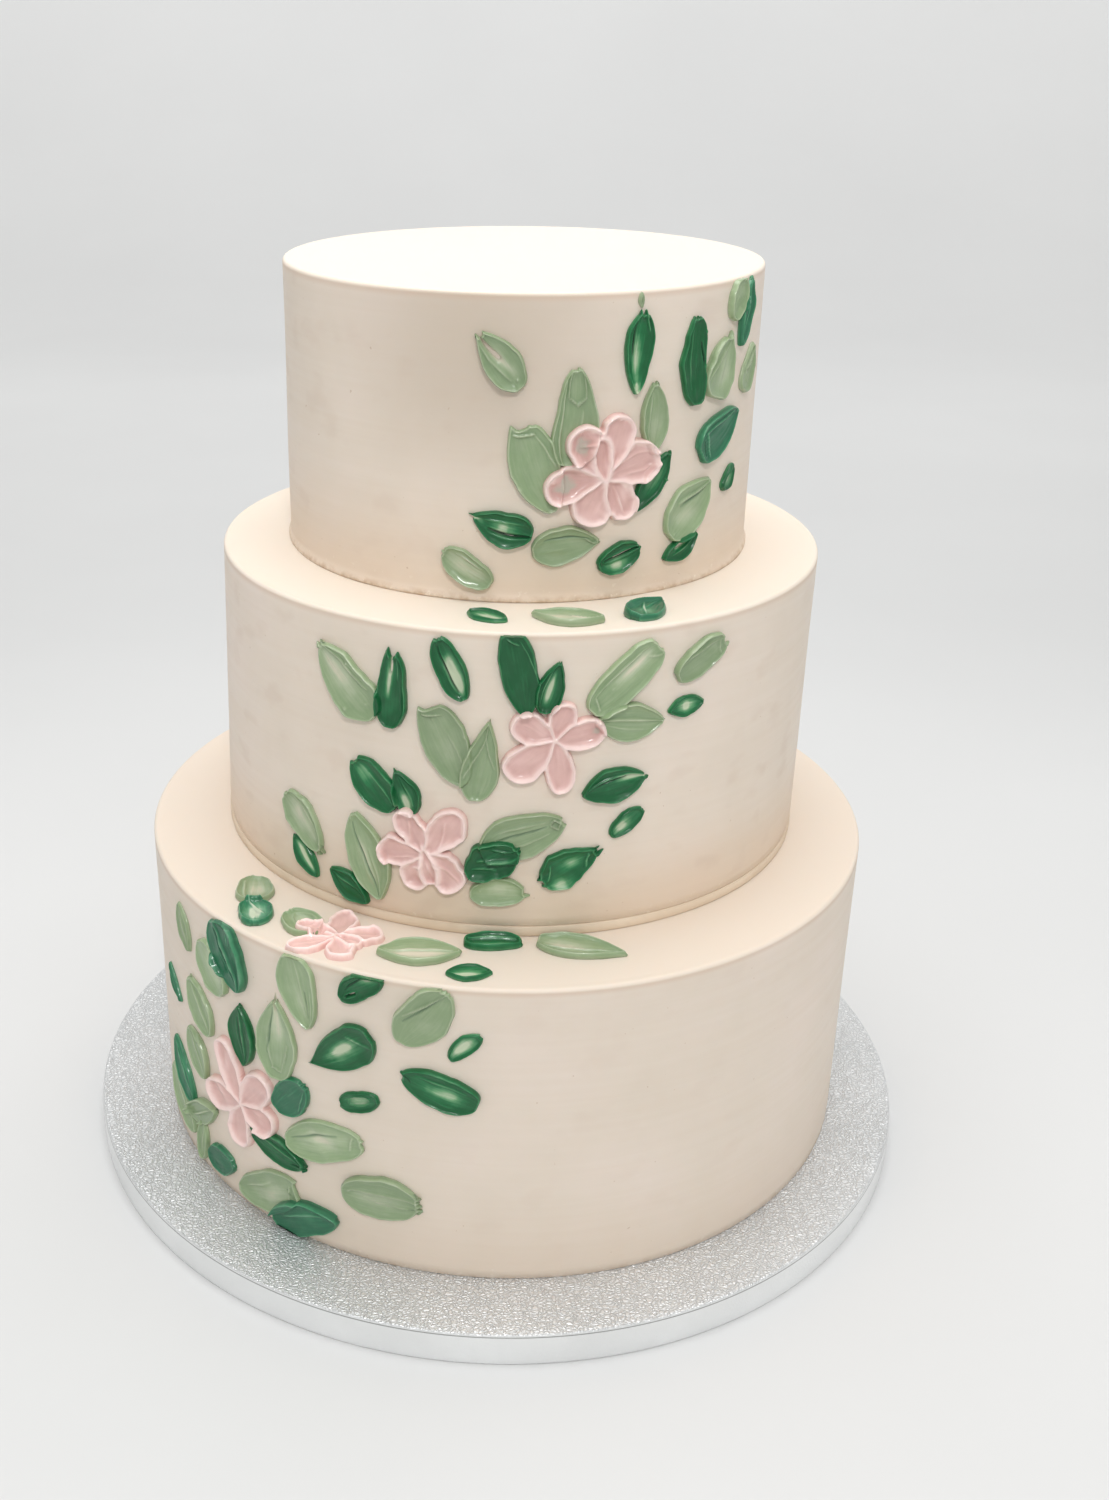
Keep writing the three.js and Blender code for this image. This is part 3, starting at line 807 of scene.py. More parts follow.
# %% Thickness of a stroke
# How tall, deep and wide each feature is, in mm; what says share is a part of the length.
BARE_DEPTH = 0.7
LIP_PLACE, LIP_WIDE, LIP_TALL = 0.6, 0.24, 0.34
TIP_LOWER, TIP_SHARE = 0.25, 0.22
STREAK_TALL, LUMP_TALL = 0.03, 0.045
LINE_WIDE = 0.62
RIDGE_TALL, GROOVE_DEEP, THIN_DEEP = 1.5, 1.2, 0.3
RIM_FOOT = 0.25
SMOOTH_ROUNDS = 9
CREST_HIGHLIGHT_GAIN, CREST_HIGHLIGHT_MOST = 1.1, 0.32
FOLD_SHADE_GAIN, FOLD_SHADE_FREE, FOLD_SHADE_MOST = 1.6, 0.03, 0.4


def near_line(stroke, share, across, s0, t0, s1, t1):
    """How far a point is from a mark's line, in mm, and how far along the line it is."""
    wide, long = stroke.width / 2, stroke.length
    px, py = (across - t0) * wide, (share - s0) * long
    dx, dy = (t1 - t0) * wide, (s1 - s0) * long
    square = max(dx * dx + dy * dy, 1e-9)
    hit = np.clip((px * dx + py * dy) / square, 0, 1)
    return np.hypot(px - hit * dx, py - hit * dy), hit


def smooth(field, times):
    """Each value of a grid mixed with its neighbours, a few times over."""
    for _ in range(times):
        for axis in (0, 1):
            first, last = np.take(field, [0], axis), np.take(field, [-1], axis)
            wide = np.concatenate([first, field, last], axis)
            count = field.shape[axis]
            before = np.take(wide, range(count), axis)
            after = np.take(wide, range(2, count + 2), axis)
            field = 0.25 * before + 0.5 * field + 0.25 * after
    return field


def crest_highlight_and_fold_shade(high, cream):
    """How much paler a crest is, as a painted highlight, and how much darker a fold, as painted shade."""
    stands_out = high - smooth(high, SMOOTH_ROUNDS)
    crest_highlight = np.clip(CREST_HIGHLIGHT_GAIN * stands_out, 0, CREST_HIGHLIGHT_MOST)
    fold = np.clip(-FOLD_SHADE_GAIN * stands_out - FOLD_SHADE_FREE, 0, FOLD_SHADE_MOST)
    return (-0.8 * crest_highlight if cream == PINK else crest_highlight), fold


def thickness(stroke, share, across, along, aside, edge, outer=None):
    """Thickness in mm at each point, how thin it looks there with painted highlights on its lip and
    ridges, and its painted shade in grooves. The edge is how far the point is from the stroke's
    border; outer is the same for all strokes joined to it."""
    edge = np.maximum(edge, 0)
    outer = edge if outer is None else outer
    rim = np.sqrt(np.clip(1 - (1 - np.clip(outer / stroke.round, 0, 1)) ** 2, 0, 1))
    bowl = 1 - np.exp(-((edge / (stroke.bank * stroke.width)) ** 2))
    streaks = sum(a * np.sin(f * across + p + 0.8 * share) for f, p, a in stroke.streaks)
    lumps = sum(np.sin(f * along + g * aside + p) for f, g, p in stroke.lumps)
    high = stroke.full * (1 - stroke.scoop * bowl) * (1 + stroke.slant * across)
    high = high * (1 - TIP_LOWER * np.exp(-((share / TIP_SHARE) ** 2)))
    high = high + (STREAK_TALL * streaks + LUMP_TALL * stroke.lumpy * lumps) * bowl
    lip = np.exp(-(((edge - LIP_PLACE) / LIP_WIDE) ** 2))
    high = high + LIP_TALL * lip * (1 + 0.15 * lumps)
    for s0, t0, s1, t1, much, wide in stroke.hairs:
        gap, hit = near_line(stroke, share, across, s0, t0, s1, t1)
        high = high + much * np.sin(np.pi * np.clip(hit, 0.02, 0.98)) * np.exp(-((gap / wide) ** 2))
    # Painted highlight: the rim's lip is paler, most on sage.
    worn = (0.2 if stroke.cream == SAGE else 0.08) * lip
    crease = np.zeros_like(high)
    for kind, s0, t0, s1, t1, much, wide in stroke.marks:
        if kind == "pool":
            spread = np.sqrt(((share - s0) / s1) ** 2 + ((across - t0) / t1) ** 2)
            inside = 1 / (1 + np.exp((spread - 1) * 14))
            high = high - much * inside + 0.4 * np.exp(-(((spread - 1.05) / 0.1) ** 2))
            worn = np.maximum(worn, 0.2 * inside)
            continue
        gap, hit = near_line(stroke, share, across, s0, t0, s1, t1)
        fade = np.sqrt(np.clip(np.sin(np.pi * (0.08 + 0.84 * hit)), 0, 1))
        if s0 < 0:
            fade = np.where(hit < 0.5, 1.0, fade)
        wide = wide * (LINE_WIDE if kind in ("ridge", "groove") else 1.0)
        if kind == "ridge":
            mark = fade * np.exp(-((gap / wide) ** 2))
            high = high + RIDGE_TALL * much * mark
            # Painted highlight along the ridge.
            worn = worn + 0.28 * mark
        elif kind == "groove":
            mark = fade * np.exp(-((gap / wide) ** 2))
            bank = fade * np.exp(-(((gap - 1.8 * wide) / wide) ** 2))
            high = high - GROOVE_DEEP * much * mark + 0.4 * much * bank
            # Painted shade in the groove.
            crease = np.maximum(crease, mark)
        elif kind == "scraped":
            mark = fade / (1 + np.exp((gap - wide) * 5))
            high = high * (1 - much * mark) - BARE_DEPTH * much * mark
            worn = np.maximum(worn, mark / (1 + np.exp((gap - 1.2 * wide) * 5)))
        elif kind == "thin":
            mark = fade * np.exp(-((gap / (1.35 * wide)) ** 2))
            high = high - THIN_DEEP * much * mark
            glow = 0.6 if stroke.cream == SAGE else 0.85
            worn = np.maximum(worn, glow * much * mark * (1 + 0.15 * streaks))
    return high * rim + RIM_FOOT * (1 - rim), worn, crease


# %% A stroke as a mesh
LONG_STEPS = 72
CROSS_STEPS = 52
LONG_PULL, CROSS_PULL = 1.5, 1.45
SKIRT = -0.9
SKIRT_INSET = 0.93
SETTLED = 0.75
GLOW_MOST, GLOW_DEPTH, GLOW_SPAN = 0.55, 1.15, 0.9
ROWS_REACH = 0.998


def crowded(count, pull):
    """Places from -1 to 1 that crowd towards both ends."""
    even = np.linspace(-1, 1, count)
    return np.sign(even) * (1 - (1 - np.abs(even)) ** pull)


def stroke_mesh(stroke, under=()):
    """Points, faces and carried values of one stroke, lying on the strokes under it."""
    share = (crowded(LONG_STEPS, LONG_PULL) * ROWS_REACH + 1) / 2
    share, across = np.meshgrid(share, crowded(CROSS_STEPS, CROSS_PULL), indexing="ij")
    along, aside = stroke.flat(share, across)
    edge = stroke.edge_distance(along, aside)
    high, worn, crease = thickness(stroke, share, across, along, aside, edge)
    # Painted highlight on crests and painted shade in folds.
    crest_highlight, fold = crest_highlight_and_fold_shade(high, stroke.cream)
    worn, crease = worn + crest_highlight, crease + fold
    x, y = stroke.paper(along, aside)
    base = sum_under(under, x, y)
    points = stroke.cake_points(x, y, base + high)
    rows, lines = share.shape
    number = np.arange(rows * lines).reshape(rows, lines)
    ring = np.concatenate([number[0, :], number[1:, -1], number[-1, -2::-1], number[-2:0:-1, 0]])
    x_low, y_low = stroke.paper(along * SKIRT_INSET, aside * SKIRT_INSET)
    low = stroke.cake_points(x_low, y_low, np.full_like(x, SKIRT)).reshape(-1, 3)[ring]
    a, b = number[:-1, :-1].ravel(), number[:-1, 1:].ravel()
    c, d = number[1:, 1:].ravel(), number[1:, :-1].ravel()
    faces = np.stack([a, d, c, b], axis=-1).tolist()
    first = rows * lines
    count = len(ring)
    for step in range(count):
        after = (step + 1) % count
        faces.append((int(ring[step]), int(ring[after]), first + after, first + step))
    faces.append(tuple(first + step for step in range(count)))
    rest = np.zeros(count)
    values = {
        "worn": np.concatenate([(worn + shallow(high)).ravel(), rest]),
        "crease": np.concatenate([crease.ravel(), rest]),
        "batch": np.full(first + count, stroke.batch),
    }
    knife = np.stack([across * stroke.width / 2, share * stroke.length], axis=-1).reshape(-1, 2)
    knife = np.concatenate([knife, knife[ring]])
    return np.concatenate([points.reshape(-1, 3), low]), faces, values, knife


def shallow(high):
    """Buttercream under about a millimetre lets the icing behind it show."""
    return GLOW_MOST * np.clip((GLOW_DEPTH - high) / GLOW_SPAN, 0, 1)


def sum_under(under, x, y):
    """How high the strokes under a point lift it; it settles into them a little."""
    total = np.zeros_like(x)
    for other in under:
        along, aside = other.own(x, y)
        share = along / other.length + 0.5
        inside = (share > 0.01) & (share < 0.99)
        safe = np.clip(share, 0.01, 0.99)
        aside = aside - other.curve(safe)
        half = np.where(aside > 0, other.half(safe, True), other.half(safe, False))
        inside &= np.abs(aside) < half
        if not inside.any():
            continue
        across = aside[inside] / half[inside]
        bent = (aside + other.curve(safe))[inside]
        edge = other.edge_distance(along[inside], bent)
        high, _, _ = thickness(other, share[inside], across, along[inside], bent, edge)
        total[inside] = np.maximum(total[inside], SETTLED * np.maximum(high, 0))
    return total


# %% [markdown]
# ## Buttercream in four colours
# Where buttercream is thick its colour is deep, and where the knife scraped it thin the pale icing
# glows through. So the mesh carries how worn each point is, with painted highlights on crests, lips
# and ridges, and a ramp turns that into colour. It also carries painted shade for grooves and
# folds. Fine lines run along the pull of the knife, in colour and in relief. They read a map of the
# stroke that is measured in millimetres and stretched along the pull.

# %% Buttercream finish
ALONG_PULL = (1.1, 0.07, 1)


def buttercream_finish(name, stops, gloss, streak=0.16, fold=(60, 60, 60), shine=0.5):
    cream = Shading(name, gloss)
    knife = cream.node("ShaderNodeUVMap", {"uv_map": "knife"}).outputs["UV"]
    pulled = cream.node("ShaderNodeMapping", Vector=knife, Scale=ALONG_PULL).outputs["Vector"]
    lines = cream.noise(pulled, 1.0, 4.0, 0.6)
    cloud = cream.noise(knife, 0.22, 3.0)
    # The carried worn value is how thin the cream is, with painted highlights on crests, lips and ridges.
    worn = cream.carried("worn")
    change = cream.span(lines, 0.25, 0.75, -streak, streak)
    change = cream.math("ADD", change, cream.span(cloud, 0.3, 0.7, -0.08, 0.08))
    base = cream.ramp(cream.math("ADD", worn, change), stops)
    # Painted shade in grooves and folds: the carried crease value darkens the colour towards the fold
    # colour.
    crease = cream.math("MULTIPLY", cream.carried("crease"), 0.75)
    base = cream.mix(crease, base, linear(*fold))
    # The carried batch value gives each stroke a tone of its own, and the ledge flower a paler one as
    # painted light.
    tone = cream.node("ShaderNodeHueSaturation", Color=base)
    cream.put(tone.inputs["Value"], cream.span(cream.carried("batch"), 0, 1, 0.9, 1.1))
    relief = cream.bump(lines, 0.00013, 0.5)
    relief = cream.bump(cream.noise(knife, 2.2, 2.0), 0.00005, 0.3, relief)
    cream.set(Base_Color=tone.outputs["Color"], Normal=relief)
    cream.set(Roughness=cream.span(lines, 0.25, 0.75, gloss - 0.06, gloss + 0.1))
    cream.set(Subsurface_Weight=0.1, Subsurface_Scale=0.001)
    cream.shader.inputs["Subsurface Radius"].default_value = (0.8, 0.9, 0.6)
    cream.shader.inputs["Specular IOR Level"].default_value = shine
    cream.set(Coat_Weight=shine, Coat_Roughness=0.14)
    return cream.material


# Each fold colour is the painted shade of that cream in grooves and folds.
CREAMS = {
    GREEN: buttercream_finish(
        "deep green buttercream",
        [(0.0, (18, 91, 50)), (0.3, (35, 115, 69)), (0.62, (98, 156, 110)), (1.0, (196, 208, 178))],
        0.34,
        fold=(10, 46, 28),
        shine=0.3,
    ),
    TEAL: buttercream_finish(
        "teal green buttercream",
        [(0.0, (38, 104, 74)), (0.3, (60, 132, 94)), (0.62, (116, 166, 134)), (1.0, (198, 208, 184))],
        0.34,
        fold=(14, 52, 40),
        shine=0.35,
    ),
    SAGE: buttercream_finish(
        "sage buttercream",
        [(0.0, (138, 160, 120)), (0.3, (155, 173, 136)), (0.62, (180, 191, 160)), (1.0, (216, 208, 187))],
        0.36,
        fold=(86, 116, 84),
    ),
    PINK: buttercream_finish(
        "pink buttercream",
        [(0.0, (247, 220, 214)), (0.3, (233, 195, 188)), (0.7, (213, 171, 163)), (1.0, (192, 182, 168))],
        0.4,
        streak=0.08,
        fold=(196, 150, 145),
    ),
}
SLOT_OF = {GREEN: "green_leaf", TEAL: "green_leaf", SAGE: "sage_leaf", PINK: "petal"}
print("Buttercreams:", list(CREAMS))


# %% Join strokes into a piece
def join_meshes(name, parts):
    """One object from (points, faces, values, knife map, cream) parts."""
    points, faces, which, knives = [], [], [], []
    values = {"worn": [], "crease": [], "batch": []}
    creams = []
    start = 0
    for part_points, part_faces, part_values, knife, cream in parts:
        if cream not in creams:
            creams.append(cream)
        points.append(part_points)
        faces += [tuple(start + corner for corner in face) for face in part_faces]
        which += [creams.index(cream)] * len(part_faces)
        knives.append(knife)
        for key, rows in values.items():
            rows.append(part_values[key])
        start += len(part_points)
    made = make_object(name, np.concatenate(points), faces, [CREAMS[cream] for cream in creams], which)
    mesh = made.data
    for key, rows in values.items():
        carried = mesh.attributes.new(key, "FLOAT", "POINT")
        carried.data.foreach_set("value", np.concatenate(rows).astype(np.float32))
    corners = np.empty(len(mesh.loops), dtype=np.int32)
    mesh.loops.foreach_get("vertex_index", corners)
    knife_map = mesh.uv_layers.new(name="knife")
    knife_map.data.foreach_set("uv", np.concatenate(knives)[corners].astype(np.float32).ravel())
    return made


# %% [markdown]
# ## The leaves
# Each line below is one stroke: its ground, its colour, its place, its length, width and turn, its
# outline and its marks. A turn of 0 has the tip up, and a larger turn swings the foot to the right.
# Strokes that run into each other are one piece.

# %% Short ways to write a stroke
LEAVES = {}


def place_on(kind, tier, first, second):
    if kind == "side":
        return math.radians(first) * TIERS[tier]["radius"], second
    return first, second


def leaf(node, ground, tier, cream, first, second, length, width, turn, outline, *marks, **habits):
    x, y = place_on(ground, tier, first, second)
    made = Stroke(ground, tier, x, y, length, width, turn, outline, cream, marks, **habits)
    LEAVES.setdefault(node, []).append(made)


def top(node, *rest, **habits):
    leaf(node, "side", "top", *rest, **habits)


def mid(node, *rest, **habits):
    leaf(node, "side", "mid", *rest, **habits)


def low(node, *rest, **habits):
    leaf(node, "side", "low", *rest, **habits)


def mid_ledge(node, *rest, **habits):
    leaf(node, "ledge", "mid", *rest, **habits)


def low_ledge(node, *rest, **habits):
    leaf(node, "ledge", "low", *rest, **habits)


# %% Leaves on the top tier
top("leaf_top_slotted", SAGE, -4.2, 72.8, 19, 11, 38, (0.6, 0.62, 0.5),
    scraped(-0.1, -0.35, 0.42, 0.0, 0.75), thin(0.35, -0.05, 0.72, 0.2, 0.9, 0.9),
    ridge(0.1, -0.6, 0.8, -0.2, 0.3), bead(0.86, 0.15), horns=[(-0.85, 2.2, 0.2), (0.8, 1.4, 0.3)])
top("leaf_top_upright", GREEN, 25.5, 74, 23, 9, -4, CLUB,
    thin(0.3, -0.25, 0.75, -0.15, 1.1, 0.8), thin(0.84, -0.1, 1.0, 0.0, 2.2, 1.2),
    groove(0.1, -0.5, 0.5, -0.45, 0.5, 0.5), ridge(0.04, 0.3, 0.2, 0.6, 0.6, 0.5), ragged=1.0,
    horns=[(-0.6, 1.5, 0.25), (0.35, 1.6, 0.2)])
top("leaves_top_behind_flower", SAGE, 11.7, 56.5, 28.5, 13.5, -2, WEDGE,
    ridge(0.04, -0.6, 0.28, -0.5, 0.7, 0.4), ridge(0.28, -0.5, 0.36, 0.05, 0.8, 0.4),
    ridge(0.36, 0.05, 0.28, 0.5, 0.8, 0.4), ridge(0.28, 0.5, 0.04, 0.6, 0.6, 0.4),
    bead(0.36, 0.05, 0.5, 0.5), ridge(0.12, -0.75, 1.0, -0.6, 0.5, 0.5),
    ridge(0.42, 0.3, 0.9, 0.1, 0.3, 0.5))
top("leaves_top_behind_flower", SAGE, 3.9, 41, 27, 15, 20, PADDLE,
    ridge(0.05, -0.7, 0.1, 0.45, 0.6, 0.5), bead(0.09, 0.3, 0.5), ridge(0.1, 0.45, 0.5, 0.8, 0.4, 0.5),
    bead(0.62, -0.9, 0.4), horns=[(-0.95, 2.6, 0.3), (0.5, 0.6, 0.2)])
top("leaf_top_over_petal", SAGE, 30.2, 54.6, 21, 9.5, 0, BLADE,
    ridge(0.12, -0.35, 0.95, -0.6, 0.45, 0.45), thin(0.4, 0.1, 0.8, 0.1, 2.0, 0.4))
top("leaf_top_under_petal", GREEN, 30.4, 35.3, 20.5, 8, -35, BLADE,
    thin(0.25, 0.1, 0.6, 0.0, 1.6, 0.6), bead(0.35, 0.9, 0.5), ragged=1.0)
top("leaves_top_right_pair", GREEN, 40.7, 69.8, 26, 9.4, 2, (0.7, 0.42, 0.5),
    bead(0.16, 0.85, 0.5, 0.7), bead(0.55, 0.9, 0.5), groove(0.28, 0.5, 0.5, 0.75, 0.6, 0.4),
    ridge(0.1, -0.5, 0.8, -0.3, 0.3, 0.4), scoop=0.35, wobble=0.13, bend=0.8)
top("leaves_top_right_pair", SAGE, 50.4, 66.4, 18.5, 15, -17, (0.66, 0.6, 0.25),
    ridge(0.02, 0.3, 0.75, -0.75, 0.5, 0.5), thin(0.3, 0.2, 0.7, 0.3, 2.5, 0.6),
    horns=[(0.65, 3.0, 0.4)])
top("leaves_top_at_rim", SAGE, 55.5, 86, 13, 9.5, -28, OVAL, thin(0.3, 0, 0.7, 0, 2.0, 0.3))
top("leaves_top_at_rim", TEAL, 60.2, 81, 20, 7.4, -16, BLADE,
    ridge(0.1, 0.2, 0.8, 0.1, 0.3, 0.5), horns=[(-0.5, 1.4, 0.3), (0.6, 1.8, 0.3)])
top("leaf_top_teal", TEAL, 51.3, 46.6, 22.5, 13.2, -60, (0.68, 0.75, 0.38),
    ridge(0.1, -0.3, 0.75, -0.6, 0.5, 0.5), ridge(0.75, -0.6, 0.84, 0.6, 0.5, 0.5),
    groove(0.84, -0.4, 0.9, 0.4, 0.5, 0.5), horns=[(0.7, 1.6, 0.4)], scoop=0.45)
top("leaves_top_lower_right", SAGE, 42, 25, 23, 15.5, -48, DROP,
    ridge(0.04, 0.0, 0.6, -0.6, 0.7, 0.55), groove(0.1, 0.12, 0.6, -0.42, 0.3, 0.6),
    thin(0.4, 0.1, 0.8, 0.1, 3.0, 0.5), bead(0.93, 0.2, 0.5))
top("leaves_top_lower_right", GREEN, 40.2, 12.8, 15.5, 7.5, -66, BLADE,
    scraped(0.0, -0.4, 0.62, -0.25, 0.6, 1.0), ridge(0.1, 0.1, 0.75, 0.1, 0.4, 0.4))
top("leaf_top_left_dark", GREEN, -3.3, 23.6, 18.5, 11.3, 74, DROP,
    thin(-0.05, 0.3, 0.1, 0.0, 1.2, 1.0), thin(0.4, 0.05, 0.6, 0.05, 1.8, 0.8),
    groove(0.3, -0.3, 0.95, -0.2, 0.9, 0.9), ridge(0.2, 0.3, 0.8, 0.5, 0.3), horns=[(0.7, 2.4, 0.3)])
top("leaf_top_under_flower", SAGE, 10.5, 18, 20.5, 12.2, -82, DROP,
    groove(0.15, -0.35, 0.8, -0.5, 0.35, 0.5), ridge(0.06, 0.3, 0.2, -0.3, 0.5, 0.5), bead(0.08, 0.2))
top("leaf_top_base_dark", GREEN, 23.1, 12.9, 14.5, 9.5, -70, OVAL,
    groove(0.02, -0.15, 0.8, -0.25, 1.1, 0.8), thin(0.45, 0.4, 0.75, 0.3, 1.6, 0.9))
top("leaf_top_base_left", SAGE, -11, 10.1, 17.5, 10, 57, OVAL,
    thin(0.2, 0.1, 0.75, 0.1, 2.2, 0.9), ridge(0.2, 0.5, 0.7, 0.6, 0.3, 0.4))

# %% Leaves on the middle tier and its ledge
mid_ledge("leaf_mid_ledge_pale", SAGE, 14.5, -89.3, 22, 12, 78, BLADE,
          thin(0.1, -0.2, 0.8, -0.2, 3.0, 0.9), ridge(0.55, 0.1, 0.95, -0.3, 0.5, 0.5))
mid_ledge("leaf_mid_ledge_dark", TEAL, 38.8, -81.2, 19, 11.5, -30, TAIL,
          thin(0.5, 0.0, 0.7, 0.1, 1.8, 0.6), ridge(0.4, -0.5, 0.8, 0.4, 0.4), full=2.4)
mid("leaves_mid_left_pair", SAGE, -30.1, 79.7, 28, 16, 47, (0.58, 0.72, 0.48),
    thin(0.05, -0.05, 0.55, -0.05, 3.2, 1.0), ridge(0.05, 0.5, 0.7, 0.6, 0.5, 0.5),
    bead(0.35, 0.7, 0.5), bead(0.7, -0.75, 0.5), bead(0.82, 0.1, 0.5), ragged=1.0, wobble=0.09,
    horns=[(-0.5, 2.2, 0.2), (0.1, 1.2, 0.15), (0.6, 1.8, 0.2)])
mid("leaves_mid_left_pair", GREEN, -21.4, 79.4, 23, 10.4, -2, (0.64, 0.36, 0.5),
    scraped(-0.1, -0.1, 0.22, -0.15, 0.5, 1.0), thin(0.2, -0.2, 0.55, -0.25, 0.8, 0.9),
    ridge(0.02, 0.45, 0.3, 0.45, 0.4, 0.5), ragged=1.0, horns=[(-0.75, 3.0, 0.3), (0.6, 2.0, 0.35)])
mid("leaf_mid_slotted", GREEN, -11.1, 89.1, 20.5, 9.3, 25, (0.5, 0.42, 0.5),
    groove(0.1, -0.25, 0.85, -0.15, 0.5, 0.5), thin(0.35, 0.15, 0.88, 0.2, 1.4, 1.25))
mid("leaves_mid_over_flower", GREEN, 0.3, 88.6, 26.5, 11.5, 13, PADDLE,
    ridge(0.06, -0.3, 0.14, 0.35, 0.6, 0.5), ridge(0.1, 0.5, 0.5, 0.85, 0.3, 0.4), scoop=0.32)
mid("leaves_mid_over_flower", GREEN, 5.6, 84.5, 16.5, 8.5, -16, DROP,
    thin(0.25, -0.15, 0.75, -0.1, 0.9, 1.0), ridge(0.15, -0.5, 0.8, -0.5, 0.4, 0.4))
mid("leaves_mid_right_pair", SAGE, 18.1, 86, 28, 13.4, -47, (0.5, 0.36, 0.45),
    thin(0.15, -0.1, 0.55, -0.15, 1.6, 1.0), ridge(0.1, -0.45, 0.85, -0.55, 0.5, 0.45),
    ridge(0.15, 0.05, 0.05, 0.6, 0.4, 0.5), ridge(0.86, -0.5, 0.92, 0.4, 0.5, 0.5), bead(0.66, -0.1, 0.3))
mid("leaves_mid_right_pair", SAGE, 19.4, 72, 22.5, 12.5, -95, BLADE,
    ridge(0.05, -0.05, 0.9, -0.2, 0.5, 0.7), ridge(0.3, 0.4, 0.9, 0.2, 0.2, 0.5))
mid("leaf_mid_far_right", SAGE, 32.4, 88.9, 19.5, 10.6, -62, BOX,
    ridge(0.05, -0.3, 0.9, -0.65, 0.4, 0.45), ridge(0.08, -0.2, 0.15, 0.7, 0.4, 0.45),
    horns=[(0.8, 2.2, 0.15), (-0.5, 0.8, 0.3)])
mid("leaves_mid_middle", SAGE, -11.4, 64.4, 26.5, 14.5, 25, PADDLE,
    ridge(0.05, -0.6, 0.12, 0.4, 0.6, 0.5), bead(0.14, -0.1, 0.5), bead(0.45, 0.9, 0.35),
    ridge(0.3, 0.2, 0.95, 0.5, 0.25, 0.6), thin(0.3, -0.1, 0.7, 0.0, 3.0, 0.35), horns=[(-0.9, 1.8, 0.3)])
mid("leaves_mid_middle", SAGE, -5.4, 60.3, 26.5, 11.5, -8, TAIL,
    ridge(0.02, 0.0, 0.2, 0.0, 0.5, 0.5), ridge(0.2, 0.0, 0.55, 0.7, 0.4, 0.45),
    ridge(0.2, 0.0, 0.7, -0.75, 0.5, 0.45))
mid("leaf_mid_right_dark", GREEN, 17.3, 51.5, 20.5, 11.5, -77, BLADE,
    thin(-0.03, -0.2, 0.4, -0.3, 1.1, 1.0), ridge(0.05, -0.55, 0.9, -0.35, 0.4, 0.5),
    bead(0.6, 0.1, 0.3), groove(0.3, -0.35, 0.8, -0.25, 0.4, 0.5))
mid("leaves_mid_left_dark", GREEN, -24.5, 47.5, 20, 12.8, 45, OVAL,
    thin(0.08, 0.0, 0.4, 0.0, 1.6, 0.7), ridge(0.3, 0.3, 0.9, 0.3, 0.3, 0.5), scoop=0.38)
mid("leaves_mid_left_dark", GREEN, -18.6, 47, 15, 8.5, 25, DROP,
    thin(0.5, -0.4, 0.95, -0.3, 1.3, 1.0), ridge(0.1, 0.1, 0.8, 0.2, 0.3, 0.5))
mid("leaf_mid_left_edge", SAGE, -40.3, 26.6, 22, 12, 46, (0.45, 0.36, 0.6),
    thin(0.2, 0.0, 0.7, 0.0, 3.0, 0.8), ridge(0.05, 0.5, 0.95, 0.6, 0.3, 0.4), ragged=1.0,
    wobble=0.09, foot_horns=[(-0.7, 1.4, 0.2), (0.0, 0.8, 0.15), (0.6, 1.8, 0.2)])
mid("leaf_mid_long", SAGE, -25.8, 22, 30, 15, 20, BLADE,
    groove(0.1, -0.35, 0.95, 0.0, 0.5, 0.6), thin(0.3, -0.15, 0.75, 0.0, 1.0, 0.7),
    ridge(0.4, 0.2, 0.95, 0.25, 0.3, 0.5), bead(0.05, -0.5, 0.5, 0.6))
mid("leaf_mid_base_dark", GREEN, -29.5, 9.6, 17, 9, 60, BLADE,
    ridge(0.1, 0.0, 0.6, 0.3, 0.4, 0.6), scoop=0.35)
mid("leaves_mid_fan", SAGE, 1.7, 35.4, 27, 15, -66, (0.6, 0.6, 0.5),
    ridge(0.03, 0.0, 0.08, -0.45, 0.7, 0.4), ridge(0.08, -0.45, 0.14, 0.0, 0.7, 0.4),
    ridge(0.14, 0.0, 0.08, 0.45, 0.7, 0.4), ridge(0.08, 0.45, 0.03, 0.0, 0.7, 0.4),
    groove(0.2, 0.0, 0.8, -0.2, 0.4, 0.5),
    ridge(0.2, 0.4, 0.85, 0.35, 0.3, 0.5), ridge(0.2, -0.3, 0.8, -0.5, 0.3, 0.5))
mid("leaves_mid_fan", GREEN, -3.3, 27, 18, 12.5, -58, OVAL,
    ridge(0.1, 0.5, 0.7, -0.3, 0.5, 0.7), ridge(0.5, 0.5, 0.85, -0.1, 0.4, 0.6),
    ridge(0.1, 0.0, 0.35, -0.6, 0.5, 0.5), thin(0.4, -0.2, 0.6, 0.1, 1.5, 0.15), full=2.9,
    wobble=0.1, ragged=1.2)
mid("leaves_mid_fan", SAGE, -2.1, 16, 17, 10.3, -88, OVAL,
    thin(0.3, -0.1, 0.7, -0.1, 1.8, 0.6), bead(0.8, -0.1, 0.5, 0.5))
mid("leaf_mid_ragged", GREEN, 10.1, 24.7, 18.5, 12, -60, WEDGE,
    thin(0.65, 0.7, 0.9, 0.7, 1.6, 1.0), thin(0.3, -0.2, 0.55, -0.1, 1.5, 0.5),
    ridge(0.1, -0.3, 0.25, 0.6, 0.6, 0.7), ridge(0.75, -0.5, 0.9, 0.1, 0.4, 0.6), ragged=1.0,
    wobble=0.1, horns=[(-0.8, 2.4, 0.2), (-0.1, 1.2, 0.15), (0.6, 3.0, 0.25)],
    foot_horns=[(-0.6, 1.4, 0.2), (0.5, 1.0, 0.2)])

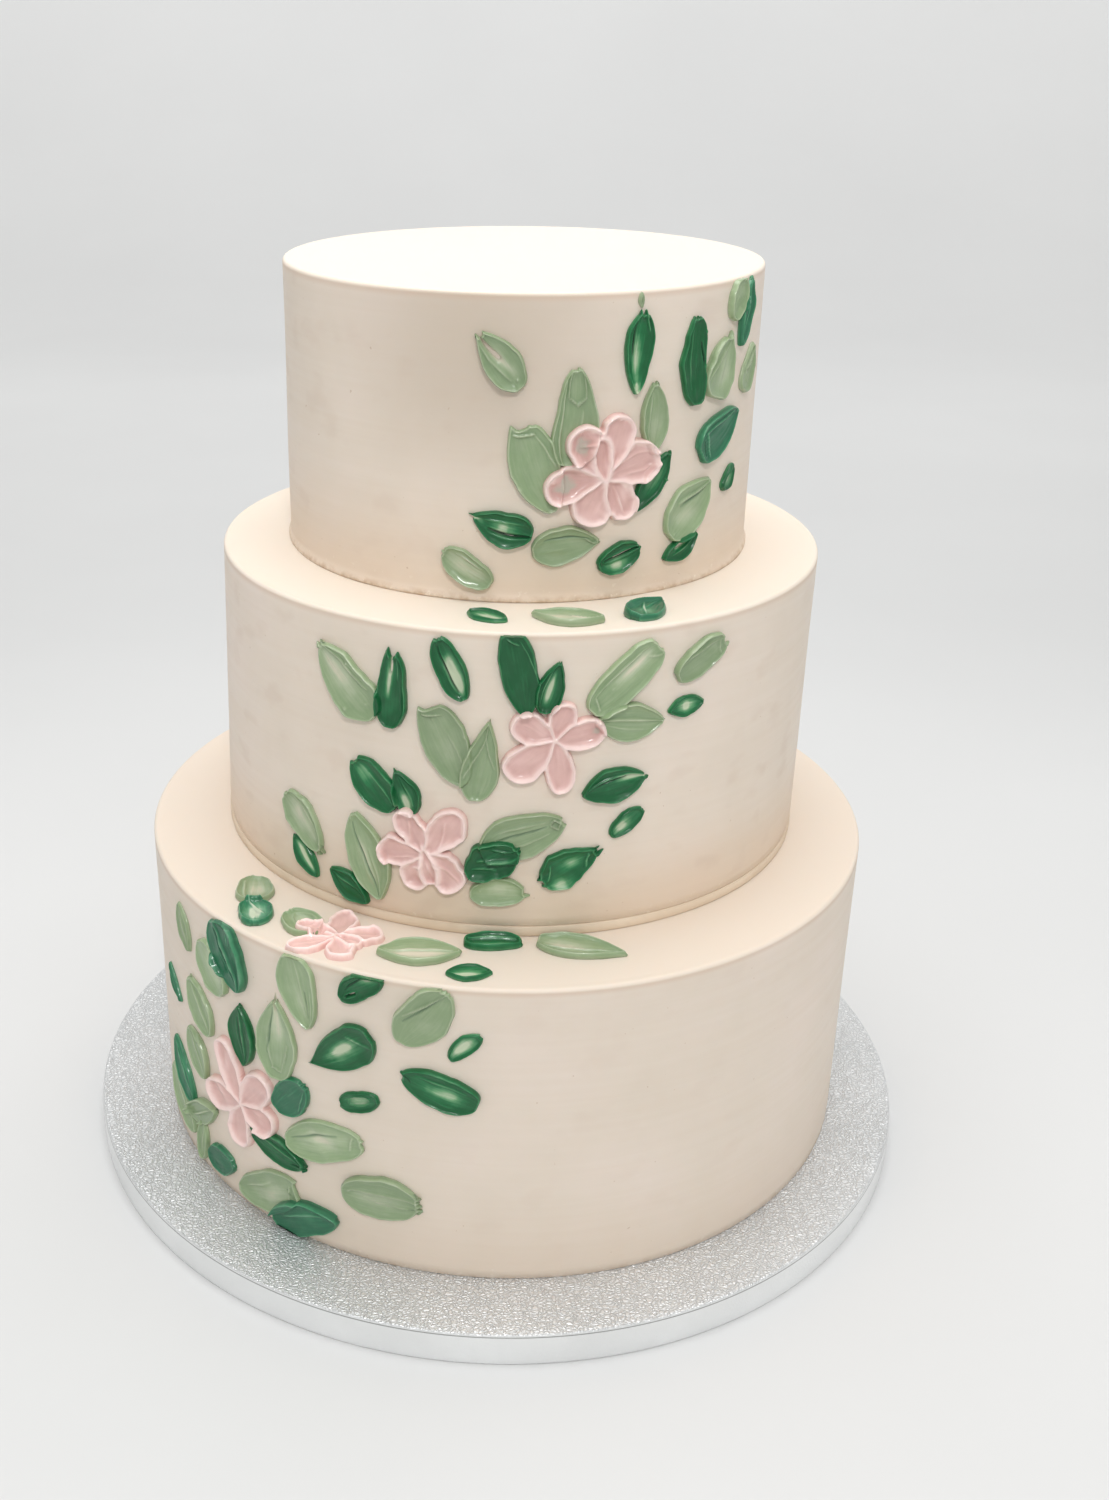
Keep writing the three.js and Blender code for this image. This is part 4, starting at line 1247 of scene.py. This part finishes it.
# %% Leaves on the low tier's ledge
low_ledge("leaves_low_ledge_pair", SAGE, -82, -72.5, 17, 13, 5, OVAL,
          thin(0.3, 0.1, 0.7, 0.1, 2.6, 1.0), ridge(0.2, -0.6, 0.9, -0.5, 0.3))
low_ledge("leaves_low_ledge_pair", TEAL, -79.7, -86.8, 15, 12, 10, OVAL,
          thin(0.3, 0.0, 0.8, -0.1, 2.6, 1.1), ridge(0.1, -0.4, 0.6, 0.4, 0.6), ragged=1.2)
low_ledge("leaf_low_ledge_tucked", SAGE, -63.8, -92.7, 17, 12.5, 35, OVAL,
          pool(0.45, 0.2, 0.28, 0.5, 0.4), thin(0.4, 0.1, 0.6, 0.2, 2.0, 0.8))
low_ledge("leaf_low_ledge_long", SAGE, -25.9, -108, 26, 14.5, -88, BLADE,
          thin(0.15, 0.3, 0.85, 0.3, 2.4, 1.15), ridge(0.1, -0.1, 0.9, -0.1, 0.4, 0.6))
low_ledge("leaf_low_ledge_dark", GREEN, -3.1, -101.6, 18, 7.8, -86, OVAL,
          thin(0.2, 0.5, 0.8, 0.5, 0.8, 0.9), ridge(0.1, -0.3, 0.9, -0.4, 0.6, 0.7), full=2.6, ragged=1.0)
low_ledge("leaf_low_ledge_right", SAGE, 24.6, -103.2, 28, 12, -102, TAIL,
          thin(0.45, 0.1, 0.95, 0.0, 2.0, 1.0), ridge(0.1, 0.1, 0.9, 0.4, 0.4, 0.5))

# %% Leaves on the low tier
low("leaves_low_crossed", SAGE, -47.9, 89.2, 20, 15, 43, OVAL, thin(0.3, 0.2, 0.8, 0.2, 2.5, 0.6))
low("leaves_low_crossed", TEAL, -43.3, 98.8, 25, 16.5, 28, PADDLE,
    ridge(0.05, -0.05, 0.95, 0.25, 0.7, 0.8), groove(0.1, -0.3, 0.85, -0.05, 0.4, 0.6),
    ridge(0.2, 0.7, 0.35, 0.4, 0.3), scoop=0.3, full=2.6, ragged=0.9)
low("leaf_low_far_left", SAGE, -52, 69.4, 21.5, 13.5, 41, BLADE, ridge(0.1, 0.0, 0.9, 0.0, 0.6, 0.7))
low("leaf_low_pointed", SAGE, -29.3, 98, 26, 14, 15, CLUB,
    groove(0.5, 0.35, 0.85, 0.3, 0.7, 0.45), ridge(0.1, 0.2, 0.9, 0.15, 0.3, 0.5),
    thin(0.4, -0.2, 0.9, 0.0, 1.6, 0.5), ridge(0.5, 0.7, 0.95, 0.6, 0.3))
low("leaf_low_at_rim", GREEN, -19.6, 106, 16.5, 9.5, -54, OVAL,
    thin(0.1, -0.35, 0.35, -0.3, 1.5, 1.0), groove(0.68, 0.3, 0.86, 0.2, 1.3, 0.7),
    groove(0.3, -0.5, 0.8, -0.3, 0.3, 0.5), ragged=1.0)
low("leaf_low_dark_upright", GREEN, -41, 70.5, 22, 12.5, 5, BLADE,
    ridge(0.05, 0.0, 0.95, 0.2, 0.5, 0.6), groove(0.2, -0.3, 0.8, -0.1, 0.3, 0.6))
low("leaf_low_feathered", SAGE, -33.8, 76, 29.5, 16, 0, DROP,
    scraped(-0.05, 0.0, 0.12, 0.0, 0.8, 0.9), thin(0.05, 0.05, 0.45, 0.1, 2.2, 0.9),
    groove(0.1, -0.25, 0.7, -0.45, 0.4, 0.6), ridge(0.5, -0.45, 0.86, -0.3, 0.5, 0.4),
    ridge(0.86, -0.3, 0.88, 0.35, 0.5, 0.4), ridge(0.88, 0.35, 0.5, 0.55, 0.5, 0.4), ragged=1.0,
    horns=[(-0.1, 3.0, 0.15), (0.6, 1.0, 0.2)])
low("leaf_low_round", SAGE, -10.5, 99, 24, 16, -35, OVAL,
    ridge(0.02, 0.1, 0.62, -0.7, 0.6, 0.5), groove(0.1, 0.0, 0.7, -0.55, 0.35, 0.5),
    thin(0.5, 0.2, 0.7, 0.2, 3.0, 0.25), scoop=0.4)
low("leaf_low_lit", GREEN, -22.8, 80.8, 27, 15.5, 127, (0.66, 1.35, 0.5),
    thin(0.35, -0.1, 0.68, 0.1, 2.2, 1.0), ridge(0.7, 0.5, 0.9, -0.5, 0.3))
low("leaf_low_beside_flower", SAGE, -53.9, 48.4, 19, 13, 39, BLADE, ridge(0.1, -0.1, 0.9, 0.0, 0.4))
low("leaves_low_left_edge", TEAL, -60.4, 32.2, 25, 12, 46, BLADE, ridge(0.1, 0.0, 0.9, 0.2, 0.5))
low("leaves_low_left_edge", SAGE, -61.9, 18, 28, 12, 60, BLADE, ridge(0.1, 0.1, 0.9, 0.1, 0.4))
low("leaves_low_left_edge", SAGE, -53.8, 24, 25, 9.5, -60, BLADE,
    ridge(0.1, -0.2, 0.8, 0.3, 0.7, 0.8), bead(0.6, 0.4, 0.6), full=2.6)
low("leaves_low_left_edge", SAGE, -54, 11, 17, 7, -8, OVAL, ridge(0.1, 0.2, 0.9, -0.2, 0.4))
low("leaf_low_teal_round", TEAL, -31.6, 56, 17, 13, -42, OVAL,
    ridge(0.05, 0.3, 0.5, 0.75, 0.35, 0.4), scoop=0.35)
low("leaf_low_right_dark", GREEN, -8.1, 73, 25, 13, 72, (0.55, 0.55, 0.42),
    thin(0.38, -0.05, 0.74, 0.0, 1.7, 0.66), ridge(0.15, 0.4, 0.8, 0.45, 0.35, 0.45),
    groove(0.02, 0.3, 0.12, -0.3, 0.4, 0.4))
low("leaf_low_bottom_round", TEAL, -48.2, 11, 16, 11, -75, OVAL, scoop=0.35)
low("leaf_low_tucked", GREEN, -34.7, 32, 23, 10.5, 79, OVAL,
    ridge(0.1, 0.2, 0.9, 0.1, 0.4, 0.6), groove(0.8, -0.4, 0.98, -0.2, 0.5, 0.5),
    foot_horns=[(-0.7, 1.6, 0.2), (0.0, 1.0, 0.15), (0.8, 1.6, 0.25)])
low("leaf_low_wide", SAGE, -26.2, 43.2, 30, 15.2, -74, (0.5, 0.5, 0.5),
    thin(0.3, 0.0, 0.7, 0.05, 2.6, 0.8), ridge(0.1, -0.45, 0.16, 0.4, 0.5, 0.5),
    groove(0.3, -0.3, 0.9, -0.15, 0.25, 0.7))
low("leaves_low_bottom_pair", SAGE, -37.1, 12.4, 29, 15.5, -66, PADDLE,
    thin(0.25, 0.2, 0.6, 0.2, 3.0, 0.8), ridge(0.08, -0.3, 0.16, 0.5, 0.5, 0.5),
    groove(0.14, -0.1, 0.12, 0.25, 0.5, 0.5), ridge(0.4, -0.35, 0.85, -0.2, 0.3, 0.6))
low("leaves_low_bottom_pair", TEAL, -29.7, 8.2, 28, 14, 113, PADDLE,
    ridge(0.2, 0.2, 0.8, 0.3, 0.3, 0.7), thin(0.5, 0.2, 0.7, 0.2, 2.0, 0.3), full=2.5, scoop=0.35)
low("leaf_low_streaked", SAGE, -17.2, 27.3, 26, 17, -88, OVAL,
    ridge(0.0, -0.2, 0.9, -0.2, 0.5, 0.5), ridge(0.1, 0.35, 0.7, 0.1, 0.5, 0.4),
    thin(0.3, 0.1, 0.8, 0.0, 2.0, 0.7), bead(0.9, -0.15, 0.6), groove(0.02, 0.4, 0.12, 0.35, 0.5, 0.4),
    ragged=1.0, horns=[(-0.8, 1.6, 0.12), (-0.3, 1.0, 0.1), (0.2, 1.8, 0.15), (0.75, 2.0, 0.12)])
print("Leaf strokes:", sum(len(strokes) for strokes in LEAVES.values()), "in", len(LEAVES), "pieces")

# %% [markdown]
# ## Small strokes that are one piece with a tier
# The eleven smallest strokes are part of their tier's solid. Here they are pieces of their own
# that stand on the same places, so that they keep their own colours. A tiny smear above the
# upright leaf of the top tier is added to them.

# %% Small strokes
DABS = {
    "top": [
        ("side", SAGE, 64.5, 63.4, 15.5, 9, -28, (0.7, 0.7, 0.4),
         (ridge(0.1, 0.3, 0.6, -0.5, 0.7, 0.5), groove(0.5, 0.1, 0.75, 0.1, 0.9, 0.6), bead(0.62, -0.3))),
        ("side", SAGE, 25.6, 89.6, 4.5, 1.8, 3, BLADE, ()),
        ("side", GREEN, 57.3, 30.2, 9.5, 6.5, -50, OVAL, (thin(0.3, 0, 0.7, 0, 1.0, 0.6),)),
    ],
    "mid": [
        ("side", GREEN, 30.2, 74.1, 13, 7, -85, BLADE, (thin(0.4, 0, 0.6, 0, 1.4, 0.9),)),
        ("side", GREEN, -40, 14, 16, 8.5, 43, BLADE, (thin(0.2, 0, 0.8, 0, 0.9, 1.0),)),
        ("side", GREEN, 20.1, 38.1, 13, 7, -53, OVAL, (thin(0.5, -0.1, 0.8, 0.1, 1.3, 0.9),)),
        ("ledge", GREEN, -9.6, -89.2, 14, 8, 58, BLADE, (thin(0.3, 0, 0.9, 0, 1.2, 1.0),)),
    ],
    "low": [
        ("side", SAGE, -56.4, 95.5, 17, 9, 26, BLADE, (ridge(0.2, 0, 0.8, 0),)),
        ("side", TEAL, -62.8, 65.5, 15.5, 5.5, 55, BLADE, ()),
        ("side", GREEN, -4.9, 89.8, 13, 6.5, -47, OVAL, (thin(0.3, 0, 0.8, 0, 1.3, 1.0),)),
        ("side", GREEN, -20, 63.2, 14.5, 8, 110, OVAL, (pool(0.5, 0.1, 0.25, 0.45, 0.4),)),
        ("ledge", GREEN, -10.1, -119, 14, 8.5, -86, BLADE, (thin(0.3, 0.2, 0.8, 0.3, 1.0, 1.0),)),
    ],
}


def make_dabs(tier):
    parts = []
    for ground, cream, first, second, length, width, turn, outline, marks in DABS[tier]:
        x, y = place_on(ground, tier, first, second)
        small = Stroke(ground, tier, x, y, length, width, turn, outline, cream, marks,
                       full=1.5, round=0.9, ragged=0.4)
        parts.append((*stroke_mesh(small), cream))
    made = join_meshes("small_strokes_" + tier, parts)
    return dress(made, "icing", "tier_" + tier)


dabs = [make_dabs(tier) for tier in DABS]
print("Small strokes:", [len(made.data.polygons) for made in dabs])


# %% Make the leaves
def make_leaves():
    made = []
    for node, strokes in LEAVES.items():
        parts = []
        for number, stroke in enumerate(strokes):
            parts.append((*stroke_mesh(stroke, strokes[:number]), stroke.cream))
        piece = join_meshes(node + "_cream", parts)
        made.append(dress(piece, SLOT_OF[strokes[0].cream], node))
    return made


leaves = make_leaves()
print("Leaf faces:", sum(len(made.data.polygons) for made in leaves))

# %% [markdown]
# ## The flowers
# A petal is a short stroke pulled outwards, thick at its rim and scooped in the middle. Petals
# touch while they are soft, so their rims melt into shared ridges that meet in the flower's middle.
# Separate petals pushed through each other would show hard seams. So a flower is drawn as one
# height map on paper: each point belongs to the petal that it is deepest inside, the line where two
# petals are level with each other is a crest, and the mesh keeps what stands out of the icing.

# %% Petals
OVER = "over"
OVERSHOOT = 1.5
OVER_FULLER = 0.3


def petals_of(ground, tier, first, second, petals, **habits):
    """The strokes of one flower. A petal is its direction, length, width and marks, and habits of
    its own if it has any."""
    x, y = place_on(ground, tier, first, second)
    common = dict(scoop=0.7, round=0.85, bank=0.15, ragged=0.5, wobble=0.05, slant=0.0, blunt=0.0)
    common.update(full=3.2, hairs=6, lumpy=2.6)
    common.update(habits)
    strokes = []
    for direction, length, width, *marks in petals:
        own = dict(common)
        if marks and marks[0] == OVER:
            marks = marks[1:]
            own.update(over=1, full=common["full"] + OVER_FULLER)
        if marks and isinstance(marks[-1], dict):
            own.update(marks[-1])
            marks = marks[:-1]
        whole = length + OVERSHOOT
        swing = math.radians(180 - direction)
        middle = whole / 2 - OVERSHOOT
        px, py = x + middle * math.sin(swing), y - middle * math.cos(swing)
        strokes.append(
            Stroke(ground, tier, px, py, whole, width, 180 - direction, PETAL, PINK, marks, **own)
        )
    return strokes


FLOWERS = {
    "flower_top": petals_of("side", "top", 18.6, 38.3, [
        (-30, 18, 12.5, thin(0.62, 0.1, 0.78, 0.1, 2.4, 1.15), ridge(0.66, -0.35, 0.72, 0.25, 1.0, 0.6)),
        (-9, 12.5, 6, OVER, ridge(0.2, -0.3, 0.9, -0.2, 0.3)),
        (17, 19.5, 11, bead(0.92, 0.2, 0.7), dict(wobble=0.1, foot_horns=[(0.5, 1.0, 0.2)])),
        (70, 18.5, 13, ridge(0.3, -0.3, 0.95, -0.5, 0.5, 0.5), ridge(0.4, 0.4, 0.9, 0.35, 0.4, 0.5),
         dict(wobble=0.1, foot_horns=[(0.1, 2.2, 0.3), (-0.7, 1.0, 0.2)])),
        (145, 15.5, 11, ridge(0.3, 0.2, 0.85, -0.2, 0.6, 0.6), dict(wobble=0.12)),
        (-157, 15.5, 13),
        (-100, 18.5, 12, thin(0.6, 0, 0.74, 0, 2.2, 1.15), bead(0.84, -0.4, 0.6)),
    ]),
    "flower_mid_right": petals_of("side", "mid", 6.6, 68, [
        (-64, 14.5, 10.5),
        (17, 12.5, 8.5),
        (79, 15.5, 10.5, thin(0.82, 0, 0.88, 0, 1.2, 1.0)),
        (170, 18, 9.5),
        (-131, 18.5, 12),
    ]),
    "flower_mid_left": petals_of("side", "mid", -14.8, 27.4, [
        (-31, 16.5, 9.5, ridge(0.4, 0.5, 0.8, -0.3, 0.5, 0.6)),
        (36, 19, 11, ridge(0.3, -0.5, 0.7, 0.3, 0.5, 0.6)),
        (-95, 15.5, 10.5, ridge(0.3, 0.3, 0.8, 0.5, 0.5, 0.5), dict(foot_horns=[(0.1, 2.0, 0.3)])),
        (-163, 13.5, 11, ridge(0.3, 0.4, 0.5, -0.4, 0.6)),
        (131, 16, 12, ridge(0.3, 0.1, 0.9, 0.2, 0.4), dict(foot_horns=[(0.5, 1.6, 0.3)])),
        (165, 11, 5.5, OVER, ridge(0.2, -0.3, 0.9, 0.3, 0.4)),
    ], wobble=0.11, ragged=1.0),
    "flower_low_ledge": petals_of("ledge", "low", -51.5, -101, [
        (5, 16, 9),
        (82, 14.5, 10, dict(foot_horns=[(-0.4, 1.5, 0.3)])),
        (165, 12.5, 9.5),
        (-63, 15.5, 8.5, dict(foot_horns=[(0.2, 2.0, 0.3)])),
        (-114, 17, 7.5, dict(foot_horns=[(0.0, 2.2, 0.3)])),
        (120, 9, 5, OVER, ridge(0.2, -0.3, 0.9, 0.3, 0.4)),
    # A tone of 1.0 makes this flower paler, as painted light on the ledge.
    ], full=2.4, wobble=0.16, ragged=1.2, tone=1.0),
    "flower_low": petals_of("side", "low", -41.6, 42.9, [
        (-25, 24, 11.5),
        (40, 20, 12.5),
        (97, 16, 12),
        (-173, 17.5, 11.5),
        (-99, 20, 12),
    ]),
}

# %% One height map for a flower
GRID = 0.3
CREST = 0.6
CREST_SLOPE = 0.8
OVER_RANK = 4.0
EDGE_SLOPE = 2.6
CUT_LEVEL = -0.8
BLEND = 0.6
FOOT_GLOW, FOOT_DEPTH, FOOT_SPAN = 0.5, 2.2, 1.2


def inside_distance(petal, x, y):
    """How deep inside a petal's border a paper point is; less than 0 is outside."""
    along, aside = petal.own(x, y)
    share = along / petal.length + 0.5
    safe = np.clip(share, 0.001, 0.999)
    off = aside - petal.curve(safe)
    half = np.maximum(np.where(off > 0, petal.half(safe, True), petal.half(safe, False)), 1e-4)
    inside = (share > 0.001) & (share < 0.999) & (np.abs(off) < half)
    edge = petal.edge_distance(along, aside)
    return np.where(inside, edge, -edge), safe, np.clip(off / half, -1, 1), along, aside


def petal_cells(petals, x, y):
    """Heights, wear, creases and knife map where each point belongs to the petal that it is
    deepest inside, and petals meet in ridges."""
    found = [inside_distance(petal, x, y) for petal in petals]
    deep = np.stack([part[0] for part in found])
    rank = deep + np.array([OVER_RANK * petal.over for petal in petals])[:, None, None] * (deep > 0)
    winner = rank.argmax(0)
    outer = deep.max(0)
    out = np.zeros_like(x)
    worn, crease, knife = np.zeros_like(x), np.zeros_like(x), np.zeros((*x.shape, 2))
    for number, petal in enumerate(petals):
        _, share, across, along, aside = found[number]
        cell = deep[number].copy()
        for other, rival in enumerate(petals):
            if other == number:
                continue
            if rival.over > petal.over:
                cell = np.minimum(cell, CREST - deep[other])
            elif rival.over == petal.over:
                meet = CREST_SLOPE * (deep[number] - deep[other]) + CREST
                cell = np.where(deep[other] > 0, np.minimum(cell, meet), cell)
        high, part_worn_and_highlight, part_crease_shade = thickness(
            petal, share, across, along, aside, np.maximum(cell, CREST), outer)
        mine = winner == number
        out = np.where(mine, high, out)
        worn, crease = np.where(mine, part_worn_and_highlight, worn), np.where(mine, part_crease_shade, crease)
        own = np.stack([across * petal.width / 2, share * petal.length], axis=-1)
        knife = np.where(mine[..., None], own, knife)
    out = np.where(outer > 0, out, RIM_FOOT + EDGE_SLOPE * outer)
    out, worn = smooth(out, 1), smooth(worn, 1)
    # Painted highlight on crests and painted shade in folds.
    crest_highlight, fold = crest_highlight_and_fold_shade(out, PINK)
    return out, worn + crest_highlight, crease + fold, knife


def flower_mesh(petals, under):
    """Points, faces and carried values of a flower, lying on the leaves under it."""
    borders = [np.stack(p.paper(p.border[:, 0], p.border[:, 1]), axis=-1) for p in petals]
    ends = np.concatenate(borders)
    low, high = ends.min(0) - 1, ends.max(0) + 1
    x, y = np.meshgrid(np.arange(low[0], high[0], GRID), np.arange(low[1], high[1], GRID), indexing="ij")
    melted, worn, crease, knife = petal_cells(petals, x, y)
    base = np.where(melted > 0, sum_under(under, x, y), 0)
    out = np.maximum(melted, CUT_LEVEL) + base * np.clip(melted / BLEND, 0, 1)
    points = petals[0].cake_points(x, y, out).reshape(-1, 3)
    keep = melted > CUT_LEVEL + 0.01
    number = np.arange(x.size).reshape(x.shape)
    cells = keep[:-1, :-1] | keep[1:, :-1] | keep[1:, 1:] | keep[:-1, 1:]
    a, b = number[:-1, :-1][cells], number[1:, :-1][cells]
    c, d = number[1:, 1:][cells], number[:-1, 1:][cells]
    faces = np.stack([a, b, c, d], axis=-1)
    used, packed = np.unique(faces, return_inverse=True)
    faces = packed.reshape(faces.shape).tolist()
    values = {
        "worn": (worn + FOOT_GLOW * np.clip((FOOT_DEPTH - melted) / FOOT_SPAN, 0, 1)).ravel()[used],
        "crease": crease.ravel()[used],
        "batch": np.full(len(used), petals[0].tone),
    }
    return points[used], faces, values, knife.reshape(-1, 2)[used]


# %% Make the flowers
def make_flowers():
    made = []
    for node, petals in FLOWERS.items():
        under = []
        for strokes in LEAVES.values():
            same = strokes[0].ground == petals[0].ground and strokes[0].tier is petals[0].tier
            under += strokes if same else []
        points, faces, values, knife = flower_mesh(petals, under)
        piece = join_meshes(node + "_cream", [(points, faces, values, knife, PINK)])
        made.append(dress(piece, "petal", node))
    return made


flowers = make_flowers()
print("Flower faces:", [len(made.data.polygons) for made in flowers])
